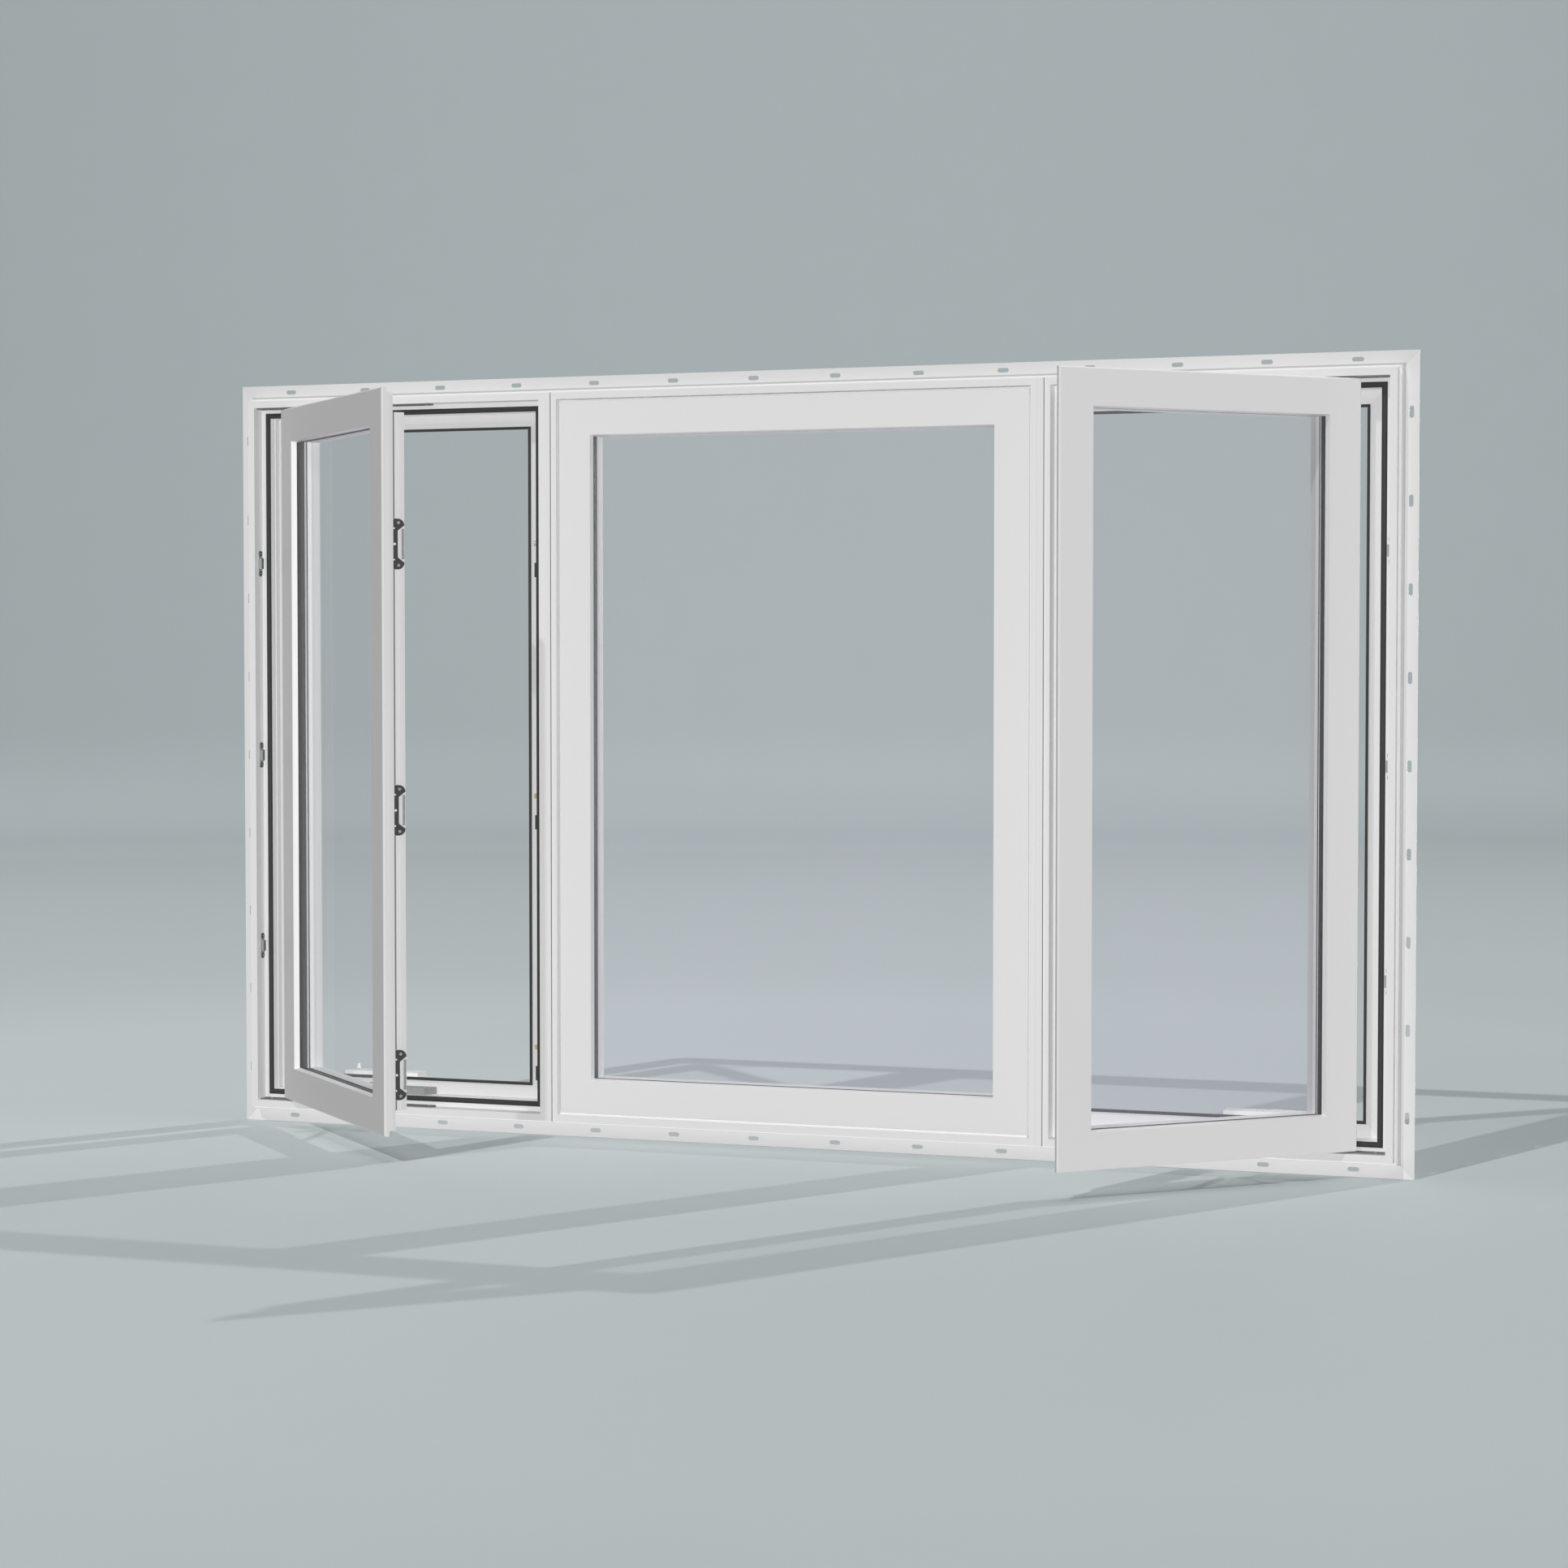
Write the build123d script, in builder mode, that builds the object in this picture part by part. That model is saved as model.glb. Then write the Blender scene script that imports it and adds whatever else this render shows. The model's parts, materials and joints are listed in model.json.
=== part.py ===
"""Triple casement window: a fixed light between two outward casements, mulled in one nailing-fin frame.

X runs across the window as seen from outdoors, Y runs from outdoors to indoors, and Z is up.
The origin lies on the back of the bottom nailing fin, at its middle.
"""

import os
from math import cos, radians, sin, sqrt

from build123d import *

os.makedirs("parts", exist_ok=True)

# Three units side by side
casement_unit_width = 609.6
fixed_unit_width = 914.4
unit_height = 1320.8

# Nailing fin round the outside, with its slots
fin_width = 25.4
fin_thickness = 1.6
fin_setback = 34.9
slot_length = 20.0
slot_width = 7.5
slot_corner_distance = 76.2
slot_corner_cut = 2.2
long_fin_slots = 14
side_fin_slots = 9
screw_slot_stride = 3

# Frame section, read from the outer face inward and from the edge of a unit towards its glass
frame_depth = 82.6
outer_ledge_width = 4.7
outer_ledge_depth = 17.5
face_width = 12.6
pocket_depth = 30.0
pocket_step = 18.7
channel_depth = 31.0
channel_groove_width = 6.0
channel_groove_depth = 2.5
stop_lower_height = 15.0
stop_upper_height = 9.0
stop_line_depth = 1.5

# Mull cover, a T-shaped strip that closes the joint between two units
mull_cover_width = 11.6
mull_cover_proud = 3.0
mull_stem_depth = 12.0
mull_stem_clearance = 0.2

# Seals on the casement frames
weatherstrip_width = 9.5
weatherstrip_proud = 4.0
weatherstrip_clearance = 0.5
inner_seal_width = 4.5
inner_seal_front = 1.5
inner_seal_depth = 10.0

# Sash section, read from its outer face inward and from the edge of its lip towards the glass
sash_gap = 3.5
sash_face_recess = 1.5
sash_face_width = 61.0
sash_depth = 54.0
sash_lip_depth = 9.0
sash_lip_bevel = 2.0
sash_step_width = 8.0
sash_step_depth = 14.0
sash_leg_inset = 39.0
sash_line_width = 1.2
sash_line_depth = 1.0
leg_line_depths = (29.5, 34.5, 43.0)

# Insulated glass and the bead that holds it from indoors
glass_reveal = 10.0
glass_bite = 11.0
glass_edge_clearance = 1.0
pane_thickness = 4.0
pane_gap = 11.0
spacer_sight_line = 1.5
bead_bevel_depth = 9.0
bead_proud = 2.5

# Casement hinge: support arm and shoe on a track, with the sash carried by both
opening_angle = 44.3
hinge_arm_length = 97.0
hinge_shoe_inset = 9.0
hinge_line_depth = 18.0
track_length = 356.0
track_width = 18.0
track_thickness = 1.2
track_lip_height = 2.4
track_lip_thickness = 1.2
track_end_chamfer = 5.0
hinge_clearance = 0.3
shoe_length = 18.0
shoe_width = 12.0
shoe_height = 3.6
shoe_corner = 3.0
hinge_bar_width = 12.0
hinge_bar_thickness = 2.5
hinge_pin_radius = 3.5
pin_sides = 12
sash_arm_overhang = 60.0

# Hinge-side snubbers on the pocket wall
snubber_pitch = 356.0
snubber_count = 3
snubber_length = 48.0
snubber_width = 12.0
snubber_plate = 2.0
snubber_hook_length = 20.0
snubber_hook_width = 7.0
snubber_hook_height = 4.0

# Multi-point lock on the lock jamb and its keepers on the sash
lock_pitch = 457.2
lock_count = 3
lock_lowest_roller = 133.0
lock_bar_width = 12.0
lock_bar_thickness = 2.0
lock_bar_overrun = 30.0
roller_radius = 4.5
roller_length = 8.0
guide_drop = 47.5
guide_length = 26.0
guide_width = 14.0
guide_height = 5.0
keeper_drop = 12.0
keeper_length = 87.0
keeper_width = 29.0
keeper_corner_radius = 12.0
keeper_thickness = 3.0
keeper_notch_length = 64.0
keeper_notch_floor = 46.0
keeper_notch_depth = 12.0

# Lock lever indoors on the lock jamb
lever_height = 330.0
lever_plate_length = 96.0
lever_plate_width = 24.0
lever_plate_thickness = 8.0
lever_plate_radius = 8.0
lever_length = 110.0
lever_width = 15.0
lever_thickness = 6.0
lever_neck_radius = 6.0
lever_neck_length = 8.0

# Crank operator in the sill, with its arm, indoor cover and folding handle
operator_start = 75.0
operator_end = 358.0
operator_width = 24.0
operator_height = 13.0
operator_end_slant = 14.0
operator_pivot = 232.0
operator_arm_length = 165.0
operator_arm_width = 16.0
operator_arm_thickness = 3.5
operator_pin_radius = 4.0
sash_track_line_depth = 39.0
sash_track_start = 180.0
sash_track_length = 230.0
sash_track_width = 16.0
sash_track_height = 6.5
sash_track_slot_width = 9.0
sash_track_slot_depth = 3.5
cover_length = 150.0
cover_bottom = 26.0
cover_height = 44.0
cover_depth = 46.0
cover_slope_height = 18.0
cover_slope_depth = 14.0
cover_edge_radius = 6.0
handle_length = 76.0
handle_hub_width = 15.0
handle_tip_width = 11.0
handle_thickness = 9.0
handle_rise = 8.0
handle_neck_radius = 5.0
handle_neck_length = 5.0
handle_hole_radius = 2.5
knob_base_radius = 5.0
knob_tip_radius = 2.2
knob_height = 16.0

# Places worked out from the sizes above
frame_width = 2 * casement_unit_width + fixed_unit_width
window_width = frame_width + 2 * fin_width
window_height = unit_height + 2 * fin_width
face_y = -(fin_thickness + fin_setback)
back_y = face_y + frame_depth
sill_z = fin_width / 2
middle_z = sill_z + unit_height / 2
pocket_edge = outer_ledge_width + face_width
channel_edge = pocket_edge + pocket_step
stop_depth = pocket_depth + channel_depth
stop_line = channel_edge + stop_lower_height
daylight_edge = stop_line + stop_upper_height
channel_middle = pocket_depth + channel_depth / 2
sash_edge = pocket_edge + sash_gap
sash_step_end = sash_lip_depth + sash_step_depth
glass_thickness = 2 * pane_thickness + pane_gap
glass_back = glass_reveal + glass_thickness
glass_pocket_edge = sash_face_width - glass_bite
casement_sash_width = casement_unit_width - 2 * sash_edge
fixed_sash_width = fixed_unit_width - 2 * sash_edge
sash_height = unit_height - 2 * sash_edge
left_edge_x = -frame_width / 2
mull_x = fixed_unit_width / 2

# Hinge geometry of the left casement: the shoe slides towards the fixed pivot as the sash opens
swing = radians(opening_angle)
hinge_y = face_y + sash_face_recess + hinge_line_depth
shoe_travel = 2 * hinge_arm_length * (1 - cos(swing))
shoe_x = left_edge_x + sash_edge + hinge_shoe_inset + shoe_travel
fixed_pivot_x = left_edge_x + sash_edge + hinge_shoe_inset + 2 * hinge_arm_length
along_sash = Vector(cos(swing), -sin(swing), 0)
into_sash = Vector(sin(swing), cos(swing), 0)
shoe_point = Vector(shoe_x, hinge_y, 0)
fixed_point = Vector(fixed_pivot_x, hinge_y, 0)
arm_point = shoe_point + along_sash * hinge_arm_length
hinge_corner = shoe_point - along_sash * hinge_shoe_inset - into_sash * hinge_line_depth
sash_bottom_z = sill_z + sash_edge

# Outlines of the extrusions as (distance from the edge, depth from the outer face)
frame_outline = [
    (outer_ledge_width, 0),
    (pocket_edge, 0),
    (pocket_edge, pocket_depth),
    (channel_edge, pocket_depth),
    (channel_edge, channel_middle - channel_groove_width / 2),
    (channel_edge - channel_groove_depth, channel_middle - channel_groove_width / 2),
    (channel_edge - channel_groove_depth, channel_middle + channel_groove_width / 2),
    (channel_edge, channel_middle + channel_groove_width / 2),
    (channel_edge, stop_depth),
    (stop_line, stop_depth),
    (stop_line, stop_depth + stop_line_depth),
    (daylight_edge, stop_depth + stop_line_depth),
    (daylight_edge, frame_depth),
    (0, frame_depth),
    (0, outer_ledge_depth),
    (outer_ledge_width, outer_ledge_depth),
]
fin_outline = [(0, 0), (fin_width, 0), (fin_width, fin_thickness), (0, fin_thickness)]


bead_outline = [
    (glass_pocket_edge, glass_back),
    (sash_face_width, glass_back),
    (sash_face_width + bead_proud, glass_back + bead_bevel_depth),
    (sash_face_width + bead_proud, sash_depth),
    (glass_pocket_edge, sash_depth),
]


def sash_line(edge, middle):
    """Corners of a shallow line drawn along a wall of a sash rail, from its inner side to its outer."""
    inner, outer = middle + sash_line_width / 2, middle - sash_line_width / 2
    return [(edge, inner), (edge + sash_line_depth, inner), (edge + sash_line_depth, outer), (edge, outer)]


def sash_outline(step_end):
    """Section of a sash rail whose middle step ends at the given depth. Its glass rebate is open indoors."""
    leg_lines = [point for depth in reversed(leg_line_depths) for point in sash_line(sash_leg_inset, depth)]
    return [
        (sash_lip_bevel, 0),
        (sash_face_width, 0),
        (sash_face_width, glass_reveal),
        (glass_pocket_edge, glass_reveal),
        (glass_pocket_edge, sash_depth),
        (sash_leg_inset, sash_depth),
        *leg_lines,
        (sash_leg_inset, step_end),
        (sash_step_width, step_end),
        (sash_step_width, sash_lip_depth),
        (0, sash_lip_depth),
        *sash_line(0, sash_lip_bevel + sash_line_width / 2),
    ]


def finish(part, label):
    """Names a finished piece and writes it."""
    part.label = label
    export_step(part, f"parts/{label}.step")


def panel_point(panel, across, depth, up):
    """A point of a panel, from its lower left corner on its outer face."""
    return panel.origin + panel.x_dir * across + panel.y_dir * depth + panel.z_dir * up


def mitred_bar(panel, width, height, side, outline):
    """One side of a rectangular panel, extruded from its section and mitred at both ends."""
    right, up = panel.x_dir, panel.z_dir
    corner, inward, along, length = {
        "left": (panel.origin, right, up, height),
        "top": (panel.origin + up * height, up * -1, right, width),
        "right": (panel.origin + right * width + up * height, right * -1, up * -1, height),
        "bottom": (panel.origin + right * width, up, right * -1, width),
    }[side]
    with BuildPart() as bar:
        with BuildSketch(Plane(corner, x_dir=inward, z_dir=along)):
            with BuildLine():
                Polyline(*outline, close=True)
            make_face()
        extrude(amount=length)
        split(bisect_by=Plane(corner, z_dir=along - inward), keep=Keep.TOP)
        split(bisect_by=Plane(corner + along * length, z_dir=along * -1 - inward), keep=Keep.TOP)
    return bar.part


def ring(panel, width, height, inset, band, front, depth):
    """A flat rectangular band inside a panel, between two depths."""
    centre = panel_point(panel, width / 2, front, height / 2)
    with BuildPart() as band_part:
        with BuildSketch(Plane(centre, x_dir=panel.x_dir, z_dir=panel.y_dir)):
            Rectangle(width - 2 * inset, height - 2 * inset)
            Rectangle(width - 2 * (inset + band), height - 2 * (inset + band), mode=Mode.SUBTRACT)
        extrude(amount=depth)
    return band_part.part


def insulated_panes(panel, width, height):
    """The two panes of an insulated glass unit."""
    edge = glass_pocket_edge + glass_edge_clearance
    with BuildPart() as panes:
        for front in (glass_reveal, glass_back - pane_thickness):
            centre = panel_point(panel, width / 2, front, height / 2)
            with BuildSketch(Plane(centre, x_dir=panel.x_dir, z_dir=panel.y_dir)):
                Rectangle(width - 2 * edge, height - 2 * edge)
            extrude(amount=pane_thickness)
    return panes.part


def glazing_bead(panel, width, height):
    """The bead round the indoor side of a glass unit, welded at its corners."""
    with BuildPart() as bead:
        for side in ("left", "top", "right", "bottom"):
            add(mitred_bar(panel, width, height, side, bead_outline))
    return bead.part


def glass_spacer(panel, width, height):
    """The dark spacer bar between two panes."""
    edge = glass_pocket_edge + glass_edge_clearance
    band = sash_face_width + spacer_sight_line - edge
    return ring(panel, width, height, edge, band, glass_reveal + pane_thickness, pane_gap)


# Panels: the fin, the three frame units, the fixed light and the two open casements
fin_corner = (-window_width / 2, -fin_thickness, sill_z - fin_width)
fin_panel = Plane(fin_corner, x_dir=(1, 0, 0), z_dir=(0, 0, 1))
left_unit = Plane((left_edge_x, face_y, sill_z), x_dir=(1, 0, 0), z_dir=(0, 0, 1))
fixed_unit = Plane((-mull_x, face_y, sill_z), x_dir=(1, 0, 0), z_dir=(0, 0, 1))
right_unit = Plane((mull_x, face_y, sill_z), x_dir=(1, 0, 0), z_dir=(0, 0, 1))
fixed_corner = (-mull_x + sash_edge, face_y + sash_face_recess, sash_bottom_z)
fixed_panel = Plane(fixed_corner, x_dir=(1, 0, 0), z_dir=(0, 0, 1))
left_corner = hinge_corner + Vector(0, 0, sash_bottom_z)
left_panel = Plane(left_corner, x_dir=along_sash, z_dir=(0, 0, 1))
free_corner = left_corner + along_sash * casement_sash_width
right_panel = Plane(
    (-free_corner.X, free_corner.Y, free_corner.Z),
    x_dir=(along_sash.X, -along_sash.Y, 0),
    z_dir=(0, 0, 1),
)

# Nailing fin, four mitred strips with slots. The screw slots of the long strips have round ends, every
# third one from each end, and the spare slots have cut corners.
long_slot_pitch = (frame_width - 2 * slot_corner_distance) / (long_fin_slots - 1)
side_slot_pitch = (unit_height - 2 * slot_corner_distance) / (side_fin_slots - 1)
screw_slots, spare_slots = [], []
for index in range(long_fin_slots):
    from_end = min(index, long_fin_slots - 1 - index)
    kind = spare_slots if from_end % screw_slot_stride else screw_slots
    kind.append((slot_corner_distance - frame_width / 2 + index * long_slot_pitch, 0))
for side in ("top", "bottom"):
    fin_z = middle_z + (window_height - fin_width) / 2 * (1 if side == "top" else -1)
    with BuildPart() as fin:
        add(mitred_bar(fin_panel, window_width, window_height, side, fin_outline))
        with BuildSketch(Plane((0, 0, fin_z), x_dir=(1, 0, 0), z_dir=(0, -1, 0))) as slots:
            with Locations(*spare_slots):
                Rectangle(slot_length, slot_width)
            chamfer(slots.vertices(), slot_corner_cut)
            with Locations(*screw_slots):
                SlotOverall(slot_length, slot_width)
        extrude(amount=fin_thickness, mode=Mode.SUBTRACT)
    finish(fin.part, f"{side}_nailing_fin")
for side in ("left", "right"):
    fin_x = (window_width - fin_width) / 2 * (-1 if side == "left" else 1)
    with BuildPart() as fin:
        add(mitred_bar(fin_panel, window_width, window_height, side, fin_outline))
        with BuildSketch(Plane((fin_x, 0, middle_z), x_dir=(1, 0, 0), z_dir=(0, -1, 0))) as slots:
            with GridLocations(fin_width, side_slot_pitch, 1, side_fin_slots):
                Rectangle(slot_width, slot_length)
            chamfer(slots.vertices(), slot_corner_cut)
        extrude(amount=fin_thickness, mode=Mode.SUBTRACT)
    finish(fin.part, f"{side}_nailing_fin")

# Frame members of the three units, welded at mitred corners
member_names = {"left": "left_jamb", "top": "head", "right": "right_jamb", "bottom": "sill"}
units = {
    "left": (left_unit, casement_unit_width),
    "fixed": (fixed_unit, fixed_unit_width),
    "right": (right_unit, casement_unit_width),
}
for unit_name, (unit, unit_width) in units.items():
    for side, member in member_names.items():
        bar = mitred_bar(unit, unit_width, unit_height, side, frame_outline)
        finish(bar, f"{unit_name}_unit_{member}")

# Mull covers, snapped into the ledges of two neighbouring jambs
stem_half = outer_ledge_width - mull_stem_clearance
cover_outline = [
    (-mull_cover_width / 2, -mull_cover_proud),
    (mull_cover_width / 2, -mull_cover_proud),
    (mull_cover_width / 2, 0),
    (stem_half, 0),
    (stem_half, mull_stem_depth),
    (-stem_half, mull_stem_depth),
    (-stem_half, 0),
    (-mull_cover_width / 2, 0),
]
with BuildPart() as mull_covers:
    with BuildSketch(Plane((-mull_x, face_y, sill_z + outer_ledge_width))):
        with BuildLine():
            Polyline(*cover_outline, close=True)
        make_face()
    extrude(amount=unit_height - 2 * outer_ledge_width)
    mirror(about=Plane.YZ)
finish(mull_covers.part, "mull_covers")

# Black seals of the casement frames: one on the pocket step, one on the edge of the stop
strip_inset = channel_edge - weatherstrip_clearance - weatherstrip_width
strip_front = pocket_depth - weatherstrip_proud
seal_front = stop_depth - inner_seal_front
casement_size = (casement_unit_width, unit_height)
with BuildPart() as weatherstrips:
    add(ring(left_unit, *casement_size, strip_inset, weatherstrip_width, strip_front, weatherstrip_proud))
    mirror(about=Plane.YZ)
finish(weatherstrips.part, "weatherstrips")
with BuildPart() as inner_seals:
    add(ring(left_unit, *casement_size, daylight_edge, inner_seal_width, seal_front, inner_seal_depth))
    mirror(about=Plane.YZ)
finish(inner_seals.part, "inner_seals")

# Fixed light: a sash seated on the pocket step, with its glass
rail_names = {"left": "left_stile", "top": "top_rail", "right": "right_stile", "bottom": "bottom_rail"}
fixed_outline = sash_outline(pocket_depth - sash_face_recess)
for side, rail in rail_names.items():
    finish(mitred_bar(fixed_panel, fixed_sash_width, sash_height, side, fixed_outline), f"fixed_light_{rail}")
finish(insulated_panes(fixed_panel, fixed_sash_width, sash_height), "fixed_light_glass")

# Casement sashes, hinged at the outer side of the window
casement_outline = sash_outline(sash_step_end)
for casement, panel, hinge_side in (("left", left_panel, "left"), ("right", right_panel, "right")):
    for side in ("left", "top", "right", "bottom"):
        stile = "hinge_stile" if side == hinge_side else "lock_stile"
        rail = {"top": "top_rail", "bottom": "bottom_rail"}.get(side, stile)
        bar = mitred_bar(panel, casement_sash_width, sash_height, side, casement_outline)
        finish(bar, f"{casement}_sash_{rail}")
    finish(insulated_panes(panel, casement_sash_width, sash_height), f"{casement}_sash_glass")

# Spacer bars sealed between the panes of all three lights
with BuildPart() as spacers:
    add(glass_spacer(fixed_panel, fixed_sash_width, sash_height))
    add(glass_spacer(left_panel, casement_sash_width, sash_height))
    add(glass_spacer(right_panel, casement_sash_width, sash_height))
finish(spacers.part, "glass_spacers")

# Glazing beads of all three lights, snapped into the rebates from indoors
with BuildPart() as beads:
    add(glazing_bead(fixed_panel, fixed_sash_width, sash_height))
    add(glazing_bead(left_panel, casement_sash_width, sash_height))
    add(glazing_bead(right_panel, casement_sash_width, sash_height))
finish(beads.part, "glazing_beads")

# Heights of the hinge pieces above the pocket floor of the sill
pocket_floor = sill_z + pocket_edge
track_top = pocket_floor + track_thickness
shoe_top = track_top + hinge_clearance + shoe_height
arm_bottom = shoe_top + hinge_clearance
arm_top = arm_bottom + hinge_bar_thickness
sash_arm_bottom = arm_top + hinge_clearance
sash_arm_top = sash_bottom_z + sash_step_width
support_turn = 180 + opening_angle

# Hinge tracks on the floors and ceilings of both casement pockets
track_y = hinge_y - track_width / 2
track_start = left_edge_x + pocket_edge
track_outline = [
    (0, 0),
    (track_width, 0),
    (track_width, track_lip_height),
    (track_width - track_lip_thickness, track_lip_height),
    (track_width - track_lip_thickness, track_thickness),
    (track_lip_thickness, track_thickness),
    (track_lip_thickness, track_lip_height),
    (0, track_lip_height),
]
with BuildPart() as hinge_tracks:
    with BuildSketch(Plane((track_start, track_y, pocket_floor), x_dir=(0, 1, 0), z_dir=(1, 0, 0))):
        with BuildLine():
            Polyline(*track_outline, close=True)
        make_face()
    extrude(amount=track_length)
    far_corners = hinge_tracks.edges().filter_by(Axis.Z).group_by(Axis.X)[-1]
    outer_corners = far_corners.group_by(Axis.Y)
    chamfer(outer_corners[0] + outer_corners[-1], track_end_chamfer - track_lip_thickness)
    mirror(about=Plane.XY.offset(middle_z))
    mirror(about=Plane.YZ)
finish(hinge_tracks.part, "hinge_tracks")

# Shoes that slide in the tracks, each with the pin that carries the sash
with BuildPart() as hinge_shoes:
    with BuildSketch(Plane((shoe_point.X, shoe_point.Y, track_top + hinge_clearance))) as shoe:
        Rectangle(shoe_length, shoe_width)
        chamfer(shoe.vertices(), shoe_corner)
    extrude(amount=shoe_height)
    with BuildSketch(Plane((shoe_point.X, shoe_point.Y, shoe_top))):
        RegularPolygon(hinge_pin_radius, pin_sides)
    extrude(amount=sash_arm_bottom - shoe_top)
    mirror(about=Plane.XY.offset(middle_z))
    mirror(about=Plane.YZ)
finish(hinge_shoes.part, "hinge_shoes")

# Support arms between the fixed pivot on the track and the pivot on the sash arm
arm_middle = (fixed_point + arm_point) / 2
with BuildPart() as support_arms:
    with BuildSketch(Plane((arm_middle.X, arm_middle.Y, arm_bottom))):
        SlotCenterToCenter(hinge_arm_length, hinge_bar_width, rotation=support_turn)
    extrude(amount=hinge_bar_thickness)
    with BuildSketch(Plane((fixed_point.X, fixed_point.Y, track_top))):
        RegularPolygon(hinge_pin_radius, pin_sides)
    extrude(amount=arm_bottom - track_top)
    with BuildSketch(Plane((arm_point.X, arm_point.Y, arm_top))):
        RegularPolygon(hinge_pin_radius, pin_sides)
    extrude(amount=sash_arm_bottom - arm_top)
    mirror(about=Plane.XY.offset(middle_z))
    mirror(about=Plane.YZ)
finish(support_arms.part, "support_arms")

# Sash arms, screwed to the step of the sash above the shoe and the support arm
sash_arm_span = hinge_arm_length + sash_arm_overhang
sash_arm_middle = shoe_point + along_sash * (sash_arm_span / 2)
with BuildPart() as sash_arms:
    with BuildSketch(Plane((sash_arm_middle.X, sash_arm_middle.Y, sash_arm_bottom))):
        SlotCenterToCenter(sash_arm_span, hinge_bar_width, rotation=-opening_angle)
    extrude(amount=sash_arm_top - sash_arm_bottom)
    mirror(about=Plane.XY.offset(middle_z))
    mirror(about=Plane.YZ)
finish(sash_arms.part, "sash_arms")

# Snubbers along the hinge-side pocket walls
snubber_plane = Plane((left_edge_x + pocket_edge, hinge_y, middle_z), x_dir=(0, 1, 0), z_dir=(1, 0, 0))
with BuildPart() as snubbers:
    with BuildSketch(snubber_plane):
        with GridLocations(snubber_width, snubber_pitch, 1, snubber_count):
            SlotOverall(snubber_length, snubber_width, rotation=90)
    extrude(amount=snubber_plate)
    with BuildSketch(snubber_plane.offset(snubber_plate)):
        with GridLocations(snubber_width, snubber_pitch, 1, snubber_count):
            Rectangle(snubber_hook_width, snubber_hook_length)
    extrude(amount=snubber_hook_height)
    mirror(about=Plane.YZ)
finish(snubbers.part, "hinge_side_snubbers")

# Lock bars with rollers and guides in the channel of each lock jamb
lock_x = -mull_x - channel_edge
lock_y = face_y + channel_middle
roller_low_z = sill_z + lock_lowest_roller
roller_middle_z = roller_low_z + lock_pitch * (lock_count - 1) / 2
lock_bar_length = lock_pitch * (lock_count - 1) + 2 * (guide_drop + lock_bar_overrun)
lock_plane = Plane((lock_x, lock_y, roller_middle_z), x_dir=(0, -1, 0), z_dir=(-1, 0, 0))
with BuildPart() as lock_bars:
    with BuildSketch(lock_plane):
        Rectangle(lock_bar_width, lock_bar_length)
    extrude(amount=lock_bar_thickness)
    mirror(about=Plane.YZ)
finish(lock_bars.part, "lock_bars")
with BuildPart() as lock_rollers:
    with BuildSketch(lock_plane.offset(lock_bar_thickness)):
        with GridLocations(lock_bar_width, lock_pitch, 1, lock_count):
            Circle(roller_radius)
    extrude(amount=roller_length)
    mirror(about=Plane.YZ)
finish(lock_rollers.part, "lock_rollers")
guide_plane = Plane(
    (lock_x - lock_bar_thickness, lock_y, roller_middle_z - guide_drop), x_dir=(0, -1, 0), z_dir=(-1, 0, 0)
)
with BuildPart() as lock_guides:
    with BuildSketch(guide_plane):
        with GridLocations(guide_width, lock_pitch, 1, lock_count):
            Rectangle(guide_width, guide_length)
    extrude(amount=guide_height)
    mirror(about=Plane.YZ)
finish(lock_guides.part, "lock_guides")

# Keepers on the lock edge of each sash: notched plates that the rollers draw in
leg_middle = (sash_step_end + sash_depth) / 2
keeper_up = roller_middle_z - keeper_drop - sash_bottom_z
keeper_centre = panel_point(left_panel, casement_sash_width - sash_leg_inset, leg_middle, keeper_up)
keeper_plane = Plane(keeper_centre, x_dir=left_panel.y_dir, z_dir=left_panel.x_dir)
notch_outline = [
    (keeper_width / 2, -keeper_notch_length / 2),
    (keeper_width / 2, keeper_notch_length / 2),
    (keeper_width / 2 - keeper_notch_depth, keeper_notch_floor / 2),
    (keeper_width / 2 - keeper_notch_depth, -keeper_notch_floor / 2),
]
with BuildPart() as keepers:
    with BuildSketch(keeper_plane):
        with GridLocations(keeper_width, lock_pitch, 1, lock_count):
            RectangleRounded(keeper_width, keeper_length, keeper_corner_radius)
            Polygon(*notch_outline, align=None, mode=Mode.SUBTRACT)
    extrude(amount=keeper_thickness)
    mirror(about=Plane.YZ)
finish(keepers.part, "sash_keepers")

# Crank operators on the channel floor of the casement sills
channel_floor = sill_z + channel_edge
operator_y = face_y + channel_middle
operator_outline = [
    (left_edge_x + operator_start, operator_y - operator_width / 2),
    (left_edge_x + operator_end - operator_end_slant, operator_y - operator_width / 2),
    (left_edge_x + operator_end, operator_y + operator_width / 2),
    (left_edge_x + operator_start, operator_y + operator_width / 2),
]
with BuildPart() as operators:
    with BuildSketch(Plane.XY.offset(channel_floor)):
        with BuildLine():
            Polyline(*operator_outline, close=True)
        make_face()
    extrude(amount=operator_height)
    mirror(about=Plane.YZ)
finish(operators.part, "crank_operators")

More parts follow.
